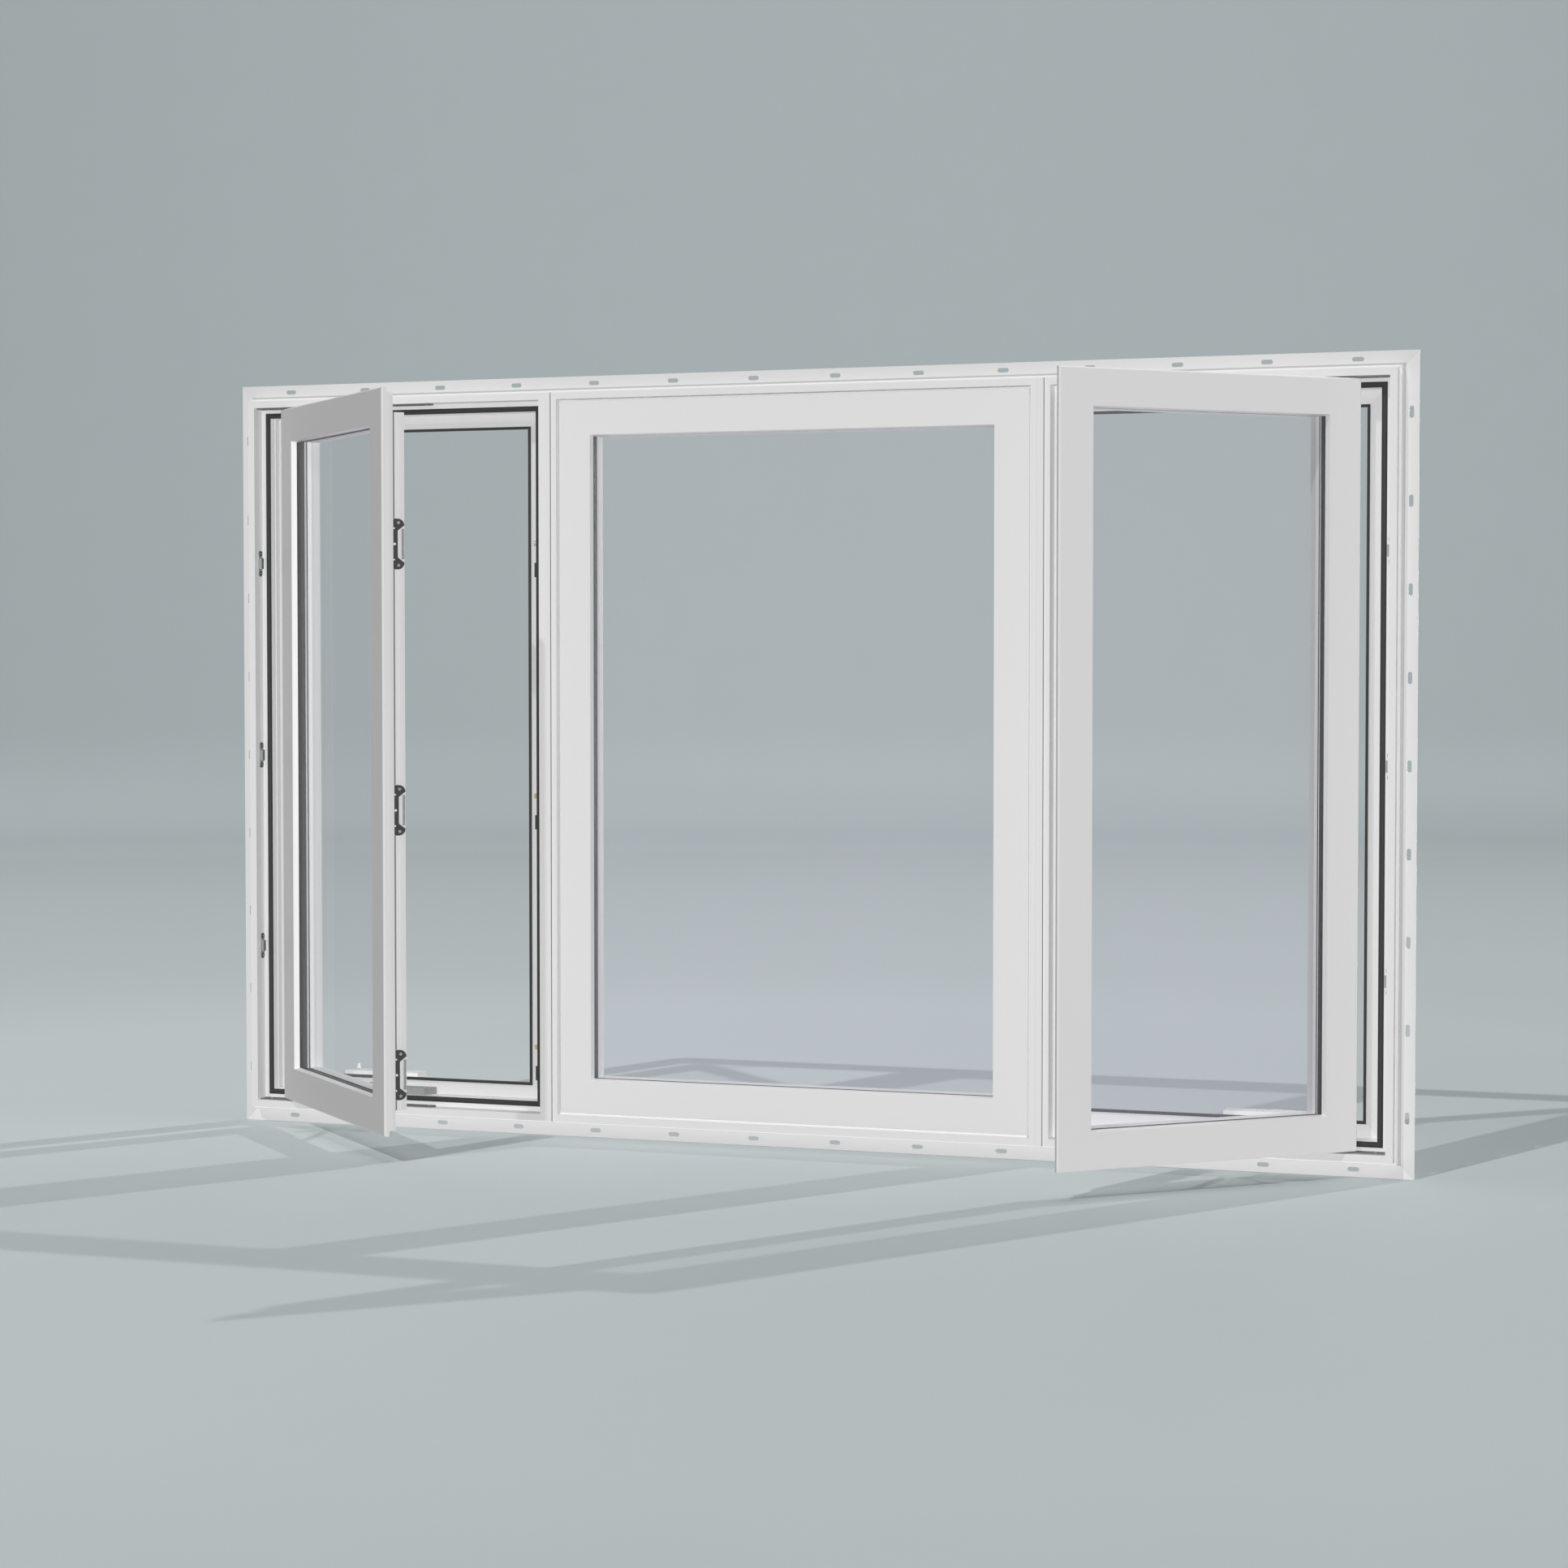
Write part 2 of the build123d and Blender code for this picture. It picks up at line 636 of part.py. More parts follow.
# Operator arms, from the operator's pivot to a slide in the track under the sash
operator_top = channel_floor + operator_height
pivot_point = Vector(left_edge_x + operator_pivot, operator_y, 0)
track_line_point = hinge_corner + into_sash * sash_track_line_depth
pivot_reach = pivot_point - track_line_point
pivot_offset = pivot_reach.dot(into_sash)
slide_distance = pivot_reach.dot(along_sash) + sqrt(operator_arm_length**2 - pivot_offset**2)
slide_point = track_line_point + along_sash * slide_distance
operator_arm_middle = (pivot_point + slide_point) / 2
operator_arm_turn = (slide_point - pivot_point).get_signed_angle(Vector(1, 0, 0), Vector(0, 0, -1))
operator_arm_bottom = operator_top + hinge_clearance
operator_arm_top = operator_arm_bottom + operator_arm_thickness
sash_leg_bottom = sash_bottom_z + sash_leg_inset
sash_track_bottom = sash_leg_bottom - sash_track_height
with BuildPart() as operator_arms:
    with BuildSketch(Plane((operator_arm_middle.X, operator_arm_middle.Y, operator_arm_bottom))):
        SlotCenterToCenter(operator_arm_length, operator_arm_width, rotation=operator_arm_turn)
    extrude(amount=operator_arm_thickness)
    with BuildSketch(Plane((pivot_point.X, pivot_point.Y, operator_top))):
        RegularPolygon(operator_pin_radius, pin_sides)
    extrude(amount=operator_arm_bottom - operator_top)
    with BuildSketch(Plane((slide_point.X, slide_point.Y, operator_arm_top))):
        RegularPolygon(operator_pin_radius, pin_sides)
    extrude(amount=sash_track_bottom + sash_track_slot_depth - operator_arm_top)
    mirror(about=Plane.YZ)
finish(operator_arms.part, "operator_arms")

# Tracks under the bottom rails of the sashes, in which the operator arms slide
wall = (sash_track_width - sash_track_slot_width) / 2
sash_track_outline = [
    (-sash_track_width / 2, 0),
    (wall - sash_track_width / 2, 0),
    (wall - sash_track_width / 2, sash_track_slot_depth),
    (sash_track_width / 2 - wall, sash_track_slot_depth),
    (sash_track_width / 2 - wall, 0),
    (sash_track_width / 2, 0),
    (sash_track_width / 2, sash_track_height),
    (-sash_track_width / 2, sash_track_height),
]
sash_track_corner = track_line_point + along_sash * sash_track_start + Vector(0, 0, sash_track_bottom)
with BuildPart() as sash_tracks:
    with BuildSketch(Plane(sash_track_corner, x_dir=into_sash, z_dir=along_sash)):
        with BuildLine():
            Polyline(*sash_track_outline, close=True)
        make_face()
    extrude(amount=sash_track_length)
    mirror(about=Plane.YZ)
finish(sash_tracks.part, "sash_operator_tracks")

# Indoor covers of the operators, with a sloped front
cover_x = left_edge_x + operator_pivot
cover_section = [
    (0, 0),
    (cover_depth, 0),
    (cover_depth, cover_height - cover_slope_height),
    (cover_depth - cover_slope_depth, cover_height),
    (0, cover_height),
]
cover_start = (cover_x - cover_length / 2, back_y, sill_z + cover_bottom)
with BuildPart() as covers:
    with BuildSketch(Plane(cover_start, x_dir=(0, 1, 0), z_dir=(1, 0, 0))):
        with BuildLine():
            Polyline(*cover_section, close=True)
        make_face()
    extrude(amount=cover_length)
    front_edges = covers.faces().sort_by(Axis.Y)[-1].edges().filter_by(Axis.Z)
    fillet(front_edges, cover_edge_radius)
    mirror(about=Plane.YZ)
finish(covers.part, "operator_covers")

# Folding crank handles lying along the covers, with an upright knob towards the hinge side
handle_y = back_y + cover_depth + handle_neck_length
handle_z = sill_z + cover_bottom + cover_height - cover_slope_height + handle_rise
handle_plane = Plane((cover_x, handle_y, handle_z), x_dir=(-1, 0, 0), z_dir=(0, 1, 0))
neck_z = sill_z + cover_bottom + (cover_height - cover_slope_height) / 2
with BuildPart() as handles:
    with BuildSketch(handle_plane):
        Circle(handle_hub_width / 2)
        with Locations((handle_length, 0)):
            Circle(handle_tip_width / 2)
        make_hull()
        Circle(handle_hole_radius, mode=Mode.SUBTRACT)
    extrude(amount=handle_thickness)
    knob_middle = (cover_x - handle_length, handle_y + handle_thickness / 2, handle_z)
    with BuildSketch(Plane(knob_middle)):
        RegularPolygon(knob_base_radius, pin_sides)
    with BuildSketch(Plane(knob_middle).offset(knob_height)):
        RegularPolygon(knob_tip_radius, pin_sides)
    loft()
    neck_length = handle_z - neck_z
    with BuildSketch(Plane((cover_x, handle_y, neck_z), x_dir=(1, 0, 0), z_dir=(0, -1, 0))):
        RegularPolygon(handle_neck_radius, pin_sides)
    extrude(amount=handle_neck_length)
    with BuildSketch(Plane((cover_x, handle_y, neck_z), x_dir=(1, 0, 0), z_dir=(0, 1, 0))):
        with Locations((0, -neck_length / 2)):
            SlotCenterToCenter(neck_length, 2 * handle_neck_radius, rotation=90)
        with Locations((0, -neck_length)):
            Circle(handle_hole_radius, mode=Mode.SUBTRACT)
    extrude(amount=handle_thickness)
    mirror(about=Plane.YZ)
finish(handles.part, "crank_handles")

# Lock levers indoors, on the lock jambs of the casements
lever_plane = Plane(
    (-mull_x - daylight_edge / 2, back_y, sill_z + lever_height), x_dir=(-1, 0, 0), z_dir=(0, 1, 0)
)
with BuildPart() as levers:
    with BuildSketch(lever_plane):
        RectangleRounded(lever_plate_width, lever_plate_length, lever_plate_radius)
    extrude(amount=lever_plate_thickness)
    with BuildSketch(lever_plane.offset(lever_plate_thickness)):
        Circle(lever_neck_radius)
    extrude(amount=lever_neck_length)
    with BuildSketch(lever_plane.offset(lever_plate_thickness + lever_neck_length)):
        with Locations((0, -(lever_length - lever_width) / 2)):
            SlotOverall(lever_length, lever_width, rotation=90)
    extrude(amount=lever_thickness)
    mirror(about=Plane.YZ)
finish(levers.part, "lock_levers")
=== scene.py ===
# %% [markdown]
# A window of three lights, seen from outdoors: a fixed light in the middle, and a casement at each
# side that stands open on its hinges. The solid parts come in already made and in place, so the work
# here is to dress them: small fittings, soft seals, finishes, light and a camera.

# %% Load the solid parts
import json
import math

import bmesh
import bpy
from mathutils import Matrix, Vector


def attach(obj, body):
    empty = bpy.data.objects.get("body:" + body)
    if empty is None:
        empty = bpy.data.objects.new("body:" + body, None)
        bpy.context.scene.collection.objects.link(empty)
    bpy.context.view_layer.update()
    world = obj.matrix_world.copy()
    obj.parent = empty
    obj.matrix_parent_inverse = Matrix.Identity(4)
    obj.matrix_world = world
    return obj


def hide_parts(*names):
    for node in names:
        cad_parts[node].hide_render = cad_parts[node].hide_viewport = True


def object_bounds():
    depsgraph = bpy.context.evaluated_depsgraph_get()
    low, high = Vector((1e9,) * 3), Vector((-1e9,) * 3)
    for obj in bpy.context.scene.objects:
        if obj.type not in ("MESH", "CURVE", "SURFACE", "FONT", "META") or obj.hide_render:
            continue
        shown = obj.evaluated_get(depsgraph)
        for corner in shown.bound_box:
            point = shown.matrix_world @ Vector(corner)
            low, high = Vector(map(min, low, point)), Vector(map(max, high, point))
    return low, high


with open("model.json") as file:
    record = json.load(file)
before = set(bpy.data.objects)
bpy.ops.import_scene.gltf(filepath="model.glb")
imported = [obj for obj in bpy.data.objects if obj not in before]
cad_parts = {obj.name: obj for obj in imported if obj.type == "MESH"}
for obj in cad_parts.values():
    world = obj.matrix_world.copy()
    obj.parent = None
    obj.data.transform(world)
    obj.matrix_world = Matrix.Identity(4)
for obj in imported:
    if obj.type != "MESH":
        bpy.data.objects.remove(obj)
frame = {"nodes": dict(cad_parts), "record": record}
cad_low, cad_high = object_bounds()
nodes = frame["nodes"]
print(len(nodes), "solid parts, box", tuple(cad_low), tuple(cad_high))

# %% [markdown]
# The camera stands to the right of the window, a little above its middle, with a long lens. Such a lens
# can be set as a number of picture pixels, because the picture's side and the sensor's side are both
# known.

# %% Camera
photo_side = 1932
focal_pixels = 4092.6
sensor_side = 36.0
camera_place = (1.966, -5.512, 0.840)
camera_yaw = math.radians(19.807)
camera_pitch = math.radians(2.045)

camera_turn = (math.pi / 2 - camera_pitch, 0, camera_yaw)
bpy.ops.object.camera_add(location=camera_place, rotation=camera_turn)
camera = bpy.context.object
camera.name = "camera"
camera.data.sensor_width = sensor_side
camera.data.lens = sensor_side * focal_pixels / photo_side
bpy.context.scene.camera = camera
print("lens", round(camera.data.lens, 1), "mm")

# %% [markdown]
# Edit mode works on whatever is selected, so three small helpers come first. One goes into edit mode on
# a single piece with nothing selected. One selects faces or edges by a test on their middle and their
# normal, the way a hand would pick them by eye. The last one closes the mesh, turns its faces outwards
# and leaves edit mode.

# %% Helpers for edit mode
merge_distance = 1e-6


def start_edit(piece):
    """Opens one piece in edit mode with nothing selected."""
    bpy.ops.object.select_all(action="DESELECT")
    piece.select_set(True)
    bpy.context.view_layer.objects.active = piece
    bpy.ops.object.mode_set(mode="EDIT")
    bpy.ops.mesh.select_all(action="DESELECT")


def pick(piece, kind, wanted):
    """Selects the faces or edges that pass a test on their middle and their normal or corners."""
    bpy.ops.mesh.select_mode(type=kind)
    bpy.ops.mesh.select_all(action="DESELECT")
    mesh = bmesh.from_edit_mesh(piece.data)
    for item in mesh.faces if kind == "FACE" else mesh.edges:
        corners = [corner.co for corner in item.verts]
        middle = sum(corners, Vector()) / len(corners)
        item.select_set(wanted(middle, item.normal) if kind == "FACE" else wanted(middle, corners))
    bmesh.update_edit_mesh(piece.data)


def end_edit():
    """Merges doubles, turns all faces outwards and goes back to object mode."""
    bpy.ops.mesh.select_all(action="SELECT")
    bpy.ops.mesh.remove_doubles(threshold=merge_distance)
    bpy.ops.mesh.normals_make_consistent(inside=False)
    bpy.ops.object.mode_set(mode="OBJECT")


# %% [markdown]
# The window stands on a round sheet of pale paper that curls up all round it, so no horizon line
# shows. A flat disc is filled first, and then its rim is drawn out and up again and again, each time a
# little steeper, which makes the curl.

# %% Paper floor with a curled rim
floor_radius = 9.0
floor_sides = 96
curl_radius = 0.6
curl_steps = 12
wall_height = 13.0
floor_gap = 0.0005

bpy.ops.mesh.primitive_circle_add(vertices=floor_sides, radius=floor_radius, fill_type="NGON")
paper = bpy.context.object
paper.name = "paper_floor"
start_edit(paper)
pick(paper, "EDGE", lambda middle, corners: middle.length > floor_radius / 2)
reach = floor_radius
for step in range(1, curl_steps + 1):
    turn = math.pi / 2 * step / curl_steps
    before = math.pi / 2 * (step - 1) / curl_steps
    rise = curl_radius * (math.cos(before) - math.cos(turn))
    wider = floor_radius + curl_radius * math.sin(turn)
    bpy.ops.mesh.extrude_edges_move(TRANSFORM_OT_translate={"value": (0, 0, rise)})
    bpy.ops.transform.resize(value=(wider / reach, wider / reach, 1), center_override=(0, 0, 0))
    reach = wider
bpy.ops.mesh.extrude_edges_move(TRANSFORM_OT_translate={"value": (0, 0, wall_height)})
bpy.ops.mesh.select_all(action="SELECT")
bpy.ops.transform.translate(value=(0, 0, cad_low.z - floor_gap))
bpy.ops.object.mode_set(mode="OBJECT")
bpy.ops.object.shade_smooth()
paper.visible_diffuse = False
paper.visible_glossy = False
paper.visible_shadow = False
print("paper reaches", round(reach, 2), "m")

# %% [markdown]
# The light is that of a plain studio. A broad lamp beside the camera fills all faces and casts no
# shadow. Two smaller lamps, one in front to the left and one behind to the right, lay the pale shadows
# on the floor, and a soft one from behind lightens them. A broad lamp indoors lights the room side, and a
# wide panel above and the bright floor below light the faces that look up and down.

# %% Lamps
def lamp(name, azimuth, height, power, softness, shadow=True):
    """A far lamp, in degrees. Azimuth 0 is in front of the window and grows towards its right side."""
    turn = (math.pi / 2 - math.radians(height), 0, math.radians(azimuth))
    bpy.ops.object.light_add(type="SUN", rotation=turn)
    light = bpy.context.object
    light.name = name
    light.data.energy = power
    light.data.angle = math.radians(softness)
    light.data.use_shadow = shadow
    print(name, "of power", power)


lamp("camera_lamp", azimuth=24, height=4, power=2.3, softness=20, shadow=False)
lamp("front_lamp", azimuth=-18.7, height=48, power=0.88, softness=0.7)
lamp("back_lamp", azimuth=149, height=41, power=0.62, softness=0.6)
lamp("back_fill", azimuth=149, height=41, power=0.43, softness=20, shadow=False)
lamp("room_lamp", azimuth=180, height=1, power=1.5, softness=20)
lamp("top_panel", azimuth=0, height=90, power=0.5, softness=30)
lamp("floor_glow", azimuth=0, height=-90, power=1.35, softness=30)

# %% [markdown]
# Finishes are made of nodes. Writing each node by hand is long, so a small class wraps an output
# socket and lets sums be written as sums: every sign adds one Math node. A wire or a plain number goes
# into a socket by the same helper.

# %% Sums on sockets
def plug(tree, socket, value):
    """Links a wire to a socket, or sets the socket to a plain value."""
    if isinstance(value, Wire):
        tree.links.new(value.socket, socket)
    else:
        socket.default_value = value


class Wire:
    """An output socket that can be used in a sum."""

    def __init__(self, tree, socket):
        self.tree = tree
        self.socket = socket

    def sum_node(self, operation, first, second):
        node = self.tree.nodes.new("ShaderNodeMath")
        node.operation = operation
        plug(self.tree, node.inputs[0], first)
        plug(self.tree, node.inputs[1], second)
        return Wire(self.tree, node.outputs[0])

    def __add__(self, other):
        return self.sum_node("ADD", self, other)

    def __radd__(self, other):
        return self.sum_node("ADD", other, self)

    def __sub__(self, other):
        return self.sum_node("SUBTRACT", self, other)

    def __rsub__(self, other):
        return self.sum_node("SUBTRACT", other, self)

    def __mul__(self, other):
        return self.sum_node("MULTIPLY", self, other)

    def __rmul__(self, other):
        return self.sum_node("MULTIPLY", other, self)

    def __abs__(self):
        return self.sum_node("ABSOLUTE", self, 0.0)

    def __lt__(self, other):
        return self.sum_node("LESS_THAN", self, other)

    def __gt__(self, other):
        return self.sum_node("GREATER_THAN", self, other)


# %% [markdown]
# A second class holds a node tree. Its method node adds any other node, with its settings first and then
# its sockets, and a few short methods name the nodes that are used most. A new finish is a material with
# such a tree, still empty.

# %% A tree of nodes
mix_amount = 0
mix_first = 6
mix_second = 7
mix_colour = 2


def ramp_stops(ramp, stops):
    """Sets the stops of a colour ramp to pairs of a place and a grey."""
    while len(ramp.elements) < len(stops):
        ramp.elements.new(1.0)
    for element, (place, grey) in zip(ramp.elements, stops):
        element.position = place
        element.color = (grey, grey, grey, 1)


class Tree:
    """A node tree with one way to add any node."""

    def __init__(self, tree):
        self.tree = tree

    def node(self, kind, settings, sockets, output=0):
        node = self.tree.nodes.new(kind)
        for name, value in settings.items():
            if name == "stops":
                ramp_stops(node.color_ramp, value)
            else:
                setattr(node, name, value)
        for name, value in sockets.items():
            plug(self.tree, node.inputs[name], value)
        return Wire(self.tree, node.outputs[output])

    def place(self, turn=0.0, stretch=(1, 1, 1)):
        """Object coordinates, turned about the upright axis and stretched."""
        where = self.node("ShaderNodeTexCoord", {}, {}, "Object")
        settings = {"vector_type": "TEXTURE"}
        turned = self.node("ShaderNodeMapping", settings, {"Vector": where, "Rotation": (0, 0, turn)})
        return self.node("ShaderNodeMapping", {}, {"Vector": turned, "Scale": stretch})

    def part_of(self, where, axis):
        """One of the three parts of a place: X, Y or Z."""
        return self.node("ShaderNodeSeparateXYZ", {}, {"Vector": where}, axis)

    def fade(self, value, start, end):
        """Grows from 0 at the start to 1 at the end."""
        return self.node("ShaderNodeMapRange", {}, {"Value": value, "From Min": start, "From Max": end})

    def noise(self, where, scale, detail=2.0):
        return self.node("ShaderNodeTexNoise", {}, {"Vector": where, "Scale": scale, "Detail": detail})

    def blend(self, amount, first, second):
        """A colour between two colours."""
        sockets = {mix_amount: amount, mix_first: first, mix_second: second}
        return self.node("ShaderNodeMix", {"data_type": "RGBA"}, sockets, mix_colour)

    def bump(self, height, strength, distance):
        sockets = {"Height": height, "Strength": strength, "Distance": distance}
        return self.node("ShaderNodeBump", {}, sockets, "Normal")

    def surface(self, sockets):
        return self.node("ShaderNodeBsdfPrincipled", {}, sockets, "BSDF")

    def close(self, shader, kind="ShaderNodeOutputMaterial"):
        """Ends the tree with its output."""
        output = self.tree.nodes.new(kind)
        self.tree.links.new(shader.socket, output.inputs["Surface"])


def new_finish(name):
    """A material with an empty tree."""
    material = bpy.data.materials.new(name)
    material.use_nodes = True
    material.node_tree.nodes.clear()
    return material, Tree(material.node_tree)


# %% [markdown]
# A faint dome of light all round keeps the shadows from going black. Glass and metal need more than
# that to mirror, so for mirrored rays the dome is bright, a little violet below and darker to the left.
# It is the first use of the node helper. The plain view shows colours as they are set.

# %% Brightness of the dome
dome_glow = (0.03, 0.03, 0.03, 1)
mirrored_sky = (0.68, 0.68, 0.71, 1)
mirrored_floor = (0.82, 0.78, 0.92, 1)
mirrored_left = (0.36, 0.36, 0.38, 1)
floor_fade = (0.05, -0.12)
left_fade = (-0.6, -0.85)

world = bpy.data.worlds.new("studio_dome")
bpy.context.scene.world = world
bpy.context.scene.view_settings.view_transform = "Standard"
world.use_nodes = True
world.node_tree.nodes.clear()

dome = Tree(world.node_tree)
sky = dome.node("ShaderNodeTexCoord", {}, {}, "Generated")
below = dome.fade(dome.part_of(sky, "Z"), *floor_fade)
to_left = dome.fade(dome.part_of(sky, "X"), *left_fade)
mirror_tone = dome.blend(to_left, dome.blend(below, mirrored_sky, mirrored_floor), mirrored_left)
mirrored = dome.node("ShaderNodeLightPath", {}, {}, "Is Glossy Ray")
shine = dome.blend(mirrored, dome_glow, mirror_tone)
glow = dome.node("ShaderNodeBackground", {}, {"Color": shine, "Strength": 1.0})
dome.close(glow, "ShaderNodeOutputWorld")
print("dome of", len(world.node_tree.nodes), "nodes")

# %% [markdown]
# White vinyl is the main finish. It is drawn through a die, so very faint lines run along each bar, and
# it has a fine satin grain. The lines need the direction of the bar, so the finish is a function of that
# direction, and the sash bars turn it by the angle at which the sashes stand open. Shade is painted deep in
# the frame's pocket: a band in the depth of the frame mixes in a greyer tone as painted shade.

# %% White vinyl
opening = math.radians(44.3)
vinyl_white = (0.77, 0.77, 0.77, 1)
vinyl_shade = (0.73, 0.73, 0.725, 1)
vinyl_ior = 1.46
line_scale = 420.0
grain_scale = 1500.0
cloud_scale = 2.2
fine_detail = 3.0
cloud_part = 0.7
line_part = 0.3
shade_less = 0.1
relief_lines = 0.7
relief_grain = 0.3
vinyl_relief = 0.12
vinyl_relief_depth = 0.0004
vinyl_rough = 0.3
rough_change = 0.16
# A darker grey painted as shade, in the frame's pocket and on the fin's top and side strips.
painted_shade_grey = (0.52, 0.52, 0.515, 1)
pocket_start = 0.01
pocket_end = 0.035


def vinyl(name, turn, stretch, painted_shade=0.0):
    """Vinyl with lines along one direction and an amount of painted shade in the pocket."""
    material, tree = new_finish(name)
    lines = tree.noise(tree.place(turn, stretch), line_scale, fine_detail)
    grain = tree.noise(tree.place(), grain_scale)
    cloud = tree.noise(tree.place(), cloud_scale, fine_detail)
    clean = tree.blend(cloud * cloud_part + lines * line_part - shade_less, vinyl_white, vinyl_shade)
    # Painted shade: a band deep in the pocket is mixed towards the darker grey.
    y = tree.part_of(tree.place(), "Y")
    colour = tree.blend((y > pocket_start) * (y < pocket_end) * painted_shade, clean, painted_shade_grey)
    relief = lines * relief_lines + grain * relief_grain
    bump = tree.bump(relief, vinyl_relief, vinyl_relief_depth)
    rough = lines * rough_change + vinyl_rough
    tree.close(tree.surface({"Base Color": colour, "Roughness": rough, "Normal": bump, "IOR": vinyl_ior}))
    return material


# %% [markdown]
# The vinyl is made once for each direction that a bar can have. A stretch of the pattern along one axis
# draws its lines out that way. The bars of the frame get their own two, with painted shade in the pocket,
# more on the jambs than on the head and sill.

# %% Vinyl in each direction
upright_lines = (1, 1, 0.01)
level_lines = (0.01, 1, 1)
# How much shade is painted into the pocket of the jambs, and of the head and sill.
jamb_painted_shade = 0.48
sill_painted_shade = 0.28

upright_vinyl = vinyl("upright_vinyl", 0.0, upright_lines)
level_vinyl = vinyl("level_vinyl", 0.0, level_lines)
left_rail_vinyl = vinyl("left_rail_vinyl", -opening, level_lines)
right_rail_vinyl = vinyl("right_rail_vinyl", opening, level_lines)
frame_upright_vinyl = vinyl("frame_upright_vinyl", 0.0, upright_lines, jamb_painted_shade)
frame_level_vinyl = vinyl("frame_level_vinyl", 0.0, level_lines, sill_painted_shade)
print("vinyl in four directions, and two for the dusty pockets")

# %% [markdown]
# The nailing fin is one thin vinyl strip round the frame, welded at its corners. A dark line of painted
# shade runs where it meets the frame, wider on top, the weld shows as a faint slanting line, and the top
# and side strips are painted a little darker as painted shade. All are masks: how far a point lies outside
# the frame, to the side and above or below, tells the corner shade line and which strip it is on, and where
# the two are equal is the weld.

# %% Vinyl of the nailing fin
frame_half_width = 1.0668
frame_half_height = 0.6604
frame_middle = 0.6731
corner_shadow_width = 0.003
top_shadow_more = 0.0016
shadow_line_dark = 0.55
shadow_line_change = 0.3
weld_line = 0.0005
weld_dark = 0.35
top_painted_shade = 0.44
side_painted_shade = 0.3
fin_rough = 0.34
fin_white = (0.81, 0.81, 0.81, 1)
# A grey for the weld lines and for the painted shade line where the fin meets the frame.
joint_and_shade_grey = (0.36, 0.36, 0.355, 1)

fin_vinyl, tree = new_finish("fin_vinyl")
where = tree.place()
z = tree.part_of(where, "Z")
beside = abs(tree.part_of(where, "X")) - frame_half_width
above = abs(z - frame_middle) - frame_half_height
outside = tree.node("ShaderNodeMath", {"operation": "MAXIMUM"}, {0: beside, 1: above})
on_top = (above > beside) * (z > frame_middle)
on_side = beside > above
weld = (abs(beside - above) < weld_line) * (beside > 0.0) * weld_dark
cloud = tree.noise(where, cloud_scale, fine_detail)
grain = tree.noise(where, grain_scale)
clean = tree.blend(cloud, fin_white, vinyl_white)
# Painted shade: the top and side strips are mixed towards the darker grey.
shaded = tree.blend(on_top * top_painted_shade + on_side * side_painted_shade, clean, painted_shade_grey)
# Painted shade: a dark line along the fin where it meets the frame, wider on the top strip.
shadow_line = (outside < on_top * top_shadow_more + corner_shadow_width) * (shadow_line_dark + cloud * shadow_line_change)
joint_and_shade = tree.blend(shadow_line + weld, shaded, joint_and_shade_grey)
bump = tree.bump(grain - weld, vinyl_relief, vinyl_relief_depth)
rough = grain * rough_change + fin_rough
tree.close(tree.surface({"Base Color": joint_and_shade, "Roughness": rough, "Normal": bump, "IOR": vinyl_ior}))
print("fin finish with corner line, welds and dust")

# %% [markdown]
# Glass is nearly nothing: light goes straight through with a slight tint, and a little of it is thrown
# back, more at a slant. A see-through shader and a mirror are mixed by that share. A faint smear keeps
# the share from being the same all over.

# %% Glass
glass_tint = (0.995, 0.997, 0.997, 1)
glass_mirror = (0.95, 0.94, 1.0, 1)
glass_rough = 0.03
glass_ior = 1.45
smear_scale = 5.0
slant_share = 0.05
smear_share = 0.012
least_share = 0.024

clear_glass, tree = new_finish("clear_glass")
smear = tree.noise(tree.place(), smear_scale, fine_detail)
slant = tree.node("ShaderNodeFresnel", {}, {"IOR": glass_ior})
through = tree.node("ShaderNodeBsdfTransparent", {}, {"Color": glass_tint})
mirror = tree.surface({"Base Color": glass_mirror, "Metallic": 1.0, "Roughness": glass_rough})
share = slant * slant_share + smear * smear_share + least_share
tree.close(tree.node("ShaderNodeMixShader", {}, {0: share, 1: through, 2: mirror}))
print("glass mixed by slant")

# %% [markdown]
# The paper's tone has light and shade painted into it. It runs from a lighter floor under the window to a
# darker wall, so that the picture's background is even, with a painted dark band where the floor curls up.
# The distance from the middle of the floor, through a ramp, mixes two greys. Near the window a painted fall
# of light darkens the floor towards the right, and a fine fibre keeps the sheet from being flat.

# %% Paper
dark_paper = (0.3, 0.345, 0.355, 1)
light_paper = (0.84, 0.915, 0.93, 1)
paper_rough = 0.85
paper_reach = 12.0
# Painted light and shade: the ramp's stops, with a dark dip where the floor curls up.
near_stops = [(0.0, 0.61), (0.12, 0.64), (0.2, 0.67), (0.28, 0.6)]
far_stops = [(0.55, 0.51), (0.75, 0.42), (0.775, 0.14), (0.805, 0.18)]
# Painted fall of light towards the right near the window.
fall_x = 0.075
fall_y = 0.027
fall_reach = 4.0
fibre_scale = 6.0
fibre_detail = 4.0
fibre_share = 0.02
fibre_rough = 0.1

